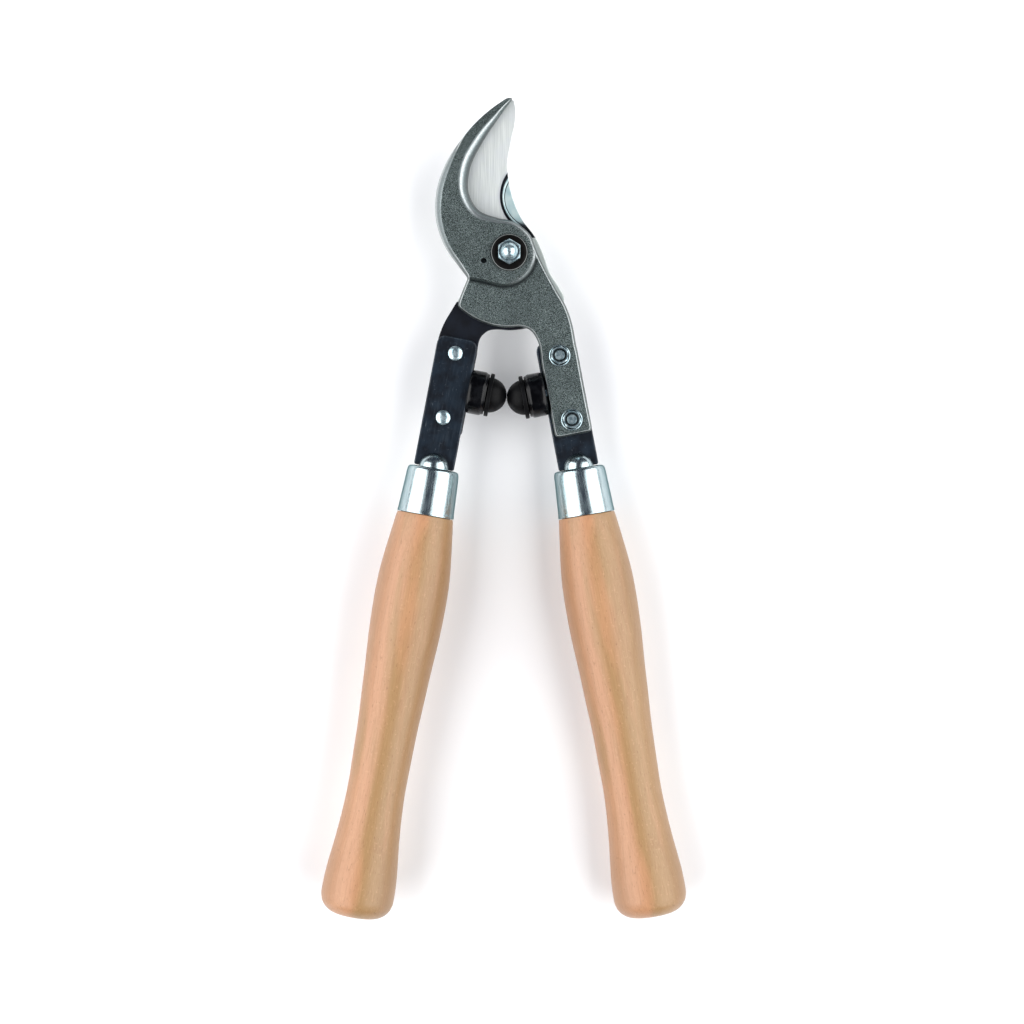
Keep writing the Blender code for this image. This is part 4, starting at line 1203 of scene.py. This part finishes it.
@dataclass(frozen=True)
class Fasteners:
    """The two round-headed bolts and flange nuts that clamp a forging's tang to its bar."""

    lever: Lever
    pitch = 31.6

    def build(self, zinc: Finish) -> None:
        """Makes two bolts and two nuts. The right lever's heads are behind, and the left lever's in front."""
        right = self.lever.side is Side.RIGHT
        head_face = -(Layer.BAR_TOP + Layer.FIT) if right else Layer.BAR_TOP + Layer.FIT
        nut_face = Layer.TANG_TOP + Layer.FIT if right else Layer.BLADE_BACK - Layer.FIT
        for tag, y in (("upper", 0.0), ("lower", -self.pitch)):
            at = self.lever.frame() @ shift(self.lever.bolt_x, y, 0)
            length = abs(head_face - nut_face) + 5.1
            bolt = Shape()
            angle = np.radians(np.linspace(0, 80, 12))
            dome = np.stack([3.6 * np.sin(angle) / math.sin(math.radians(80)), 0.5 + 1.2 * (np.cos(angle) - 0.17) / 0.83], axis=1)
            dome[0, 0] = 0.0
            bolt.revolve(np.vstack([dome, [(3.6, 0), (2.5, 0)], self.thread(length), [(0, -length)]]), 48)
            spin = 0 if self.lever.side is Side.LEFT else 180
            place = at @ shift(0, 0, head_face) @ turn("X", spin)
            bolt.build(f"{self.lever.name} bolt {tag}", zinc, self.lever.body, place, [f"{self.lever.name}_bolt_{tag}"])

            nut = Shape()
            prism = hexagon(8.0, 0.9, 4.6, 0.6, False, 2.8)
            nut.grid(prism, marks={"seam": seam(prism)})
            flange = Shape()
            flange.revolve(
                rounded(
                    (2.8, 0, 0),
                    (5.2, 0, 0.15),
                    (5.2, 0.5, 0.15),
                    (4.9, 0.75, 0),
                    (4.7, 0.82, 0),
                    (2.8, 1.25, 0),
                    (2.8, 0, 0),
                ),
                56,
            )
            ring = np.vstack(flange.points)
            # Seam mark: painted shade on the flange round the hexagon's foot.
            nut.add(ring, flange.faces, {"seam": (np.hypot(ring[:, 0], ring[:, 1]) < 4.8).astype(float)})
            place = at @ shift(0, 0, nut_face) @ turn("X", 180 - spin) @ turn("Z", 14 if tag == "upper" else -21)
            nut.build(f"{self.lever.name} nut {tag}", zinc, self.lever.body, place, [f"{self.lever.name}_nut_{tag}"])

    def thread(self, length: float) -> Array:
        """The thread's profile over the end: crests at 2.5 and roots at 2.2, 0.8 apart."""
        z = np.arange(-(length - 4.6), -(length - 0.4), -0.4)
        radius = np.where(np.arange(len(z)) % 2 == 0, 2.5, 2.2)
        return np.vstack([np.stack([radius, z], axis=1), [(2.1, -length)]])


@dataclass(frozen=True)
class Grip:
    """A lever's flat bar, nickel ferrule and turned handle."""

    lever: Lever
    length = 197.05
    ferrule_length = 23.0

    def build_bar(self, finish: Finish) -> None:
        """The flat bar, from the ferrule's crown to its rounded top."""
        shoulder = -self.lever.ferrule + Layer.FIT
        corners = ((9.8, shoulder, 0.6), (9.8, 7.7, 4.6), (-9.8, 7.7, 4.6), (-9.8, shoulder, 0.6))
        rows = outline([Knot(x, y, 0.55, 1.8, corner) for x, y, corner in corners], 1.2)
        middle = -self.lever.side.value * Layer.BAR_MIDDLE
        plate = Plate(
            rows=rows,
            front=lambda p: np.full(len(p), middle + 2.5),
            back=lambda p: np.full(len(p), middle - 2.5),
            base=lambda p: np.full(len(p), middle + 1.9),
            back_rim=0.5,
            back_edge=lambda p: np.full(len(p), middle - 2.0),
            spacing=4.0,
        )
        name = f"{self.lever.name}_shank"
        plate.shape().build(f"{self.lever.name} flat bar", finish, self.lever.body, self.lever.frame(), [name])

    def build_ferrule(self, finish: Finish) -> None:
        """A drawn cap: softened shoulder, straight taper with a rolled mouth, and a split dome on its crown."""
        end = -self.ferrule_length
        profile = rounded(
            (0, -1.2, 0),
            (0, 0, 0),
            (10.4, 0, 1.2),
            (12.15, -0.45, 0.9),
            (12.75, -2.4, 1.4),
            (13.72, end + 1.6, 0.6),
            (13.85, end + 0.9, 0.4),
            (13.85, end, 0.35),
            (12.65, end, 0.2),
            (12.5, end + 2, 0),
            (11.5, -2.4, 0.6),
            (11.2, -1.2, 0.3),
            (0, -1.2, 0),
            steps=6,
        )
        along = [profile[:4]]
        for before, after in zip(profile[3:-1], profile[4:]):
            parts = max(1, int(np.linalg.norm(after - before) / 1.2))
            along.append(before + (after - before) * np.arange(1, parts + 1)[:, None] / parts)
        profile = np.vstack(along)
        angle = np.linspace(0, 2 * math.pi, 160, endpoint=False)
        swell = np.interp(profile[:, 1], (end, end + 2, -4, -1), (0.0, 0.02, 0.05, 0.0))[:, None]
        ripple = swell * (np.sin(3 * angle + 0.6) + 0.6 * np.sin(5 * angle + 2.1)) - swell * 1.6
        cup = Shape()
        cup.revolve(profile, 160, ripple=ripple)
        for way in (1, -1):
            lump = self.half_dome(way)
            cup.add(np.vstack(lump.points), lump.faces)
        self.put(cup, f"{self.lever.name} ferrule", finish, "ferrule", 38)

    def half_dome(self, way: int) -> Shape:
        """One half of the split dome: a ball of 7.7 mm with a flat cut, rounded where the two meet."""
        radius, cut = 7.7, 2.8
        latitude = np.linspace(math.asin(cut / radius), math.pi / 2 - 0.02, 20)
        depth = np.concatenate([[cut, cut + 0.12], radius * np.sin(latitude[1:])])
        reach = np.concatenate([[radius * math.cos(latitude[0]) - 0.35], radius * np.cos(latitude)])
        depth = np.concatenate([depth[:1], depth[1:2], radius * np.sin(latitude[1:])])
        turn_ = np.linspace(0, math.pi, 41)
        x = reach[:, None] * np.cos(turn_)
        z = reach[:, None] * np.sin(turn_)
        y = np.broadcast_to(depth[:, None] * way, x.shape)
        skirt = [np.stack([x[:, :1], y[:, :1], x[:, :1] * 0 - 0.7], axis=-1), np.stack([x[:, -1:], y[:, -1:], x[:, -1:] * 0 - 0.7], axis=-1)]
        sheet = np.concatenate([skirt[0], np.stack([x, y, z], axis=-1), skirt[1]], axis=1)
        form = Shape()
        form.grid(sheet, close=False)
        count = sheet.shape[1]
        rows = sheet.shape[0]
        last = (rows - 1) * count
        form.faces.append(list(range(count)))
        form.faces.append([last + i for i in range(count)][::-1])
        for row in range(rows - 1):
            a, b = row * count, (row + 1) * count
            form.faces.append([a + count - 1, b + count - 1, b, a])
        return form

    def radius(self, share: Array) -> Array:
        """The handle's radius: sine up from shoulder to swell, then raised cosines to waist and to butt."""
        first = 13.8 + 3.9 * np.sin(math.pi / 2 * share / 0.218)
        second = 17.7 - 3.5 * (1 - np.cos(math.pi * np.clip((share - 0.218) / 0.442, 0, 1) ** 0.85)) / 2
        third = 14.2 + 3.58 * (1 - np.cos(math.pi * np.clip((share - 0.66) / 0.288, 0, 1) ** 1.25)) / 2
        return np.where(share <= 0.218, first, np.where(share <= 0.66, second, third))

    def build_handle(self, finish: Finish) -> None:
        """The turned grip, its neck inside the ferrule, with the lathe's faint unevenness."""
        start = -self.ferrule_length - Layer.FIT
        end = start - self.length
        corner = 9.5
        share = np.linspace(0, 1 - corner / self.length, 150)
        side = np.stack([self.radius(share), start - share * self.length], axis=1)
        side[0, 0] -= 0.25
        angle = np.radians(np.linspace(0, 90, 16)[1:])
        centre = side[-1, 0] - corner
        butt = np.stack([centre + corner * np.cos(angle), end + corner * (1 - np.sin(angle))], axis=1)
        neck = [(0, -3.0), (10.6, -3.0), (12.2, start + 0.05)]
        flat = np.linspace(butt[-1, 0], 0, 5)[1:]
        profile = np.vstack([neck, side, butt, np.stack([flat, np.full(4, end)], axis=1)])
        turns = np.linspace(0, 2 * math.pi, 120, endpoint=False)
        along = profile[:, 1:2]
        wave = 0.05 * np.sin(along * 0.21) + 0.04 * np.sin(along * 0.083 + 2 * np.sin(turns))
        ripple = np.where((along < start - 1) & (along > end + 6), wave - 0.09, 0)
        wood = Shape()
        wood.revolve(profile, 120, ripple=ripple)
        self.put(wood, f"{self.lever.name} handle", finish, "handle", 50)

    def put(self, shape: Shape, name: str, finish: Finish, node: str, sharp: float) -> None:
        """Places a piece turned about the grip's axis."""
        place = self.lever.grip() @ turn("X", -90)
        shape.build(name, finish, self.lever.body, place, [f"{self.lever.name}_{node}"], sharp)


@dataclass(frozen=True)
class Buffer:
    """A stop on a lever's inner edge: glossy seat, stud and rubber dome with a lip."""

    lever: Lever
    reach: float
    below = 16.5

    def build(self, seat: Finish, rubber: Finish, zinc: Finish) -> None:
        """Makes the three pieces, all turned about the buffer's axis."""
        low, high = 9.3, self.reach - 1.3
        pocket = 12.5
        cup = Shape()
        profile = rounded(
            (8.7, high, 0),
            (9.9, high, 0.5),
            (10.1, high - 1.1, 0.3),
            (10.65, high - 1.7, 0.8),
            (10.65, low + 0.1, 2.2),
            (8.2, low, 0.5),
            (2.3, low, 0),
            (2.3, pocket, 0),
            (8.7, pocket, 0),
            (8.7, high, 0),
        )
        cup.revolve(profile, 96)
        self.put(cup, "buffer seat", seat, "buffer_seat")

        ball, bottom = 8.55, self.reach - 0.9
        top = bottom + 2.0
        start = math.asin((top + 0.15 - self.reach) / ball)
        angle = np.linspace(0, math.pi / 2 - start, 26)
        dome = np.stack([ball * np.sin(angle), self.reach + ball * np.cos(angle)], axis=1)
        groove = [(8.3, top + 0.05), (8.45, top - 0.25), (8.9, top - 0.3), (9.3, top - 0.05)]
        lip = rounded(
            (9.3, top - 0.05, 0),
            (10.5, top, 0.5),
            (10.5, bottom, 0.45),
            (8.4, bottom, 0),
            (8.4, pocket + 0.3, 0),
            (4.1, pocket + 0.3, 0),
            (4.1, pocket + 2.5, 0),
            (0, pocket + 2.5, 0),
        )
        bump = Shape()
        bump.revolve(np.vstack([dome, groove, lip]), 96)
        self.put(bump, "buffer", rubber, "buffer")

        stud = Shape()
        stud.revolve(
            rounded(
                (0, pocket + 2.2, 0),
                (3.8, pocket + 2.2, 0.5),
                (3.8, pocket + 0.3, 0),
                (2.0, pocket + 0.3, 0),
                (2.0, 2.8, 0),
                (0, 2.8, 0),
            ),
            32,
        )
        self.put(stud, "buffer stud", zinc, "buffer_stud")

    def put(self, shape: Shape, name: str, finish: Finish, node: str) -> None:
        """Places a piece turned about the buffer's axis, which points at the other lever."""
        turned = self.lever.frame() @ shift(0, -self.below, 0) @ turn("Y", -self.lever.side.value * 90)
        shape.build(f"{self.lever.name} {name}", finish, self.lever.body, turned, [f"{self.lever.name}_{node}"])


# ---------------------------------------------------------------- studio


@dataclass(frozen=True)
class Studio:
    """Pale floor, two long soft panels either side, a dim room, and the camera straight above."""

    def build(self) -> None:
        """Makes floor, lights and camera."""
        floor = Shape()
        x, y = np.meshgrid(np.linspace(-3000, 3000, 9), np.linspace(-3000, 3000, 9))
        floor.grid(np.stack([x, y, np.full_like(x, -0.4)], axis=-1), close=False)
        mesh = bpy.data.meshes.new("floor")
        mesh.from_pydata((np.vstack(floor.points) * MM).tolist(), [], floor.faces)
        plane = bpy.data.objects.new("floor", mesh)
        mesh.materials.append(PaleFloor("White laminate", "floor", np.eye(4)).material())
        bpy.context.scene.collection.objects.link(plane)

        self.panel("left panel", (-0.87, -0.12, 0.68), (1.24, 2.0), 25.0)
        self.panel("right panel", (0.87, -0.12, 0.68), (1.24, 2.0), 25.0)
        world = bpy.data.worlds.new("room")
        world.use_nodes = True
        background = world.node_tree.nodes["Background"]
        background.inputs["Color"].default_value = colour("525C70")
        background.inputs["Strength"].default_value = 0.45
        bpy.context.scene.world = world

        lens = bpy.data.cameras.new("camera")
        lens.lens = 94.0
        lens.sensor_width = 36.0
        lens.clip_end = 10.0
        camera = bpy.data.objects.new("camera", lens)
        camera.location = (3.908 * MM, -1.783 * MM, 1320.45 * MM)
        bpy.context.scene.collection.objects.link(camera)
        bpy.context.scene.camera = camera
        bpy.context.scene.view_settings.view_transform = "Standard"

    def panel(self, name: str, place: tuple[float, float, float], size: tuple[float, float], power: float) -> None:
        """A soft rectangular panel that faces the middle of the tool, long side along Y."""
        light = bpy.data.lights.new(name, "AREA")
        light.shape = "RECTANGLE"
        light.size, light.size_y = size
        light.energy = power
        lamp = bpy.data.objects.new(name, light)
        lamp.location = place
        lean = math.atan2(place[0], place[2])
        lamp.rotation_euler = (0, lean, 0)
        bpy.context.scene.collection.objects.link(lamp)


# ---------------------------------------------------------------- main


def buffer_reach(right: Lever, left: Lever, below: float, apart: float) -> float:
    """How far along their axes the centres of the two domes are when they are this far apart.

    The centres move along straight lines at the same rate, so their distance is the length of a + b t, and the
    smaller root of its square is the answer.
    """
    start = np.array(right.point(0, -below)) - np.array(left.point(0, -below))
    way = (np.array(right.point(-1, -below)) - np.array(left.point(-1, -below))) - start
    a, b, c = way @ way, 2 * start @ way, start @ start - apart**2
    return float((-b - math.sqrt(b * b - 4 * a * c)) / (2 * a))


def main() -> None:
    """Builds the pieces on the frame, then the studio."""
    logging.basicConfig(level=logging.INFO, format="%(name)s %(message)s")
    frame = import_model()
    pivot = shift(*(np.array(frame["joints"][0]["pos_m"]) / MM))
    right = Lever(Side.RIGHT, "hook_half", pivot, (23.6, -49.8), 10.7, 9.45, 0.8, 55.2)
    left = Lever(Side.LEFT, "blade_half", pivot, (-26.1, -48.6), 10.8, 10.1, 0.0, 56.5)

    zinc = ZincPlate("Bright zinc plate", "zinc", pivot)
    HookForging(right).build(ForgedLacquer("Forged steel in grey lacquer", "forged", pivot))
    CuttingBlade(left).build(BladeSteel("Ground blade steel", "blade", pivot))
    PivotSet(right).build(SpringSteel("Oiled spring steel", "spring_washer", pivot), zinc)
    reach = buffer_reach(right, left, Buffer.below, 2 * 8.55 + 0.06)
    for lever in (right, left):
        name = lever.name.capitalize()
        grip = Grip(lever)
        grip.build_bar(BlackOxide(f"{name} black oxide bar", "bar", lever.frame()))
        grip.build_ferrule(NickelPlate(f"{name} bright nickel", "ferrule", lever.grip()))
        grip.build_handle(Beech(f"{name} lacquered beech", "beech", lever.grip()))
        Fasteners(lever).build(zinc)
        seat = GlossBlack("Glossy black nylon", "buffer_seat", pivot)
        Buffer(lever, reach).build(seat, Rubber("Moulded black rubber", "buffer", pivot), zinc)
    Studio().build()


if __name__ == "__main__":
    main()
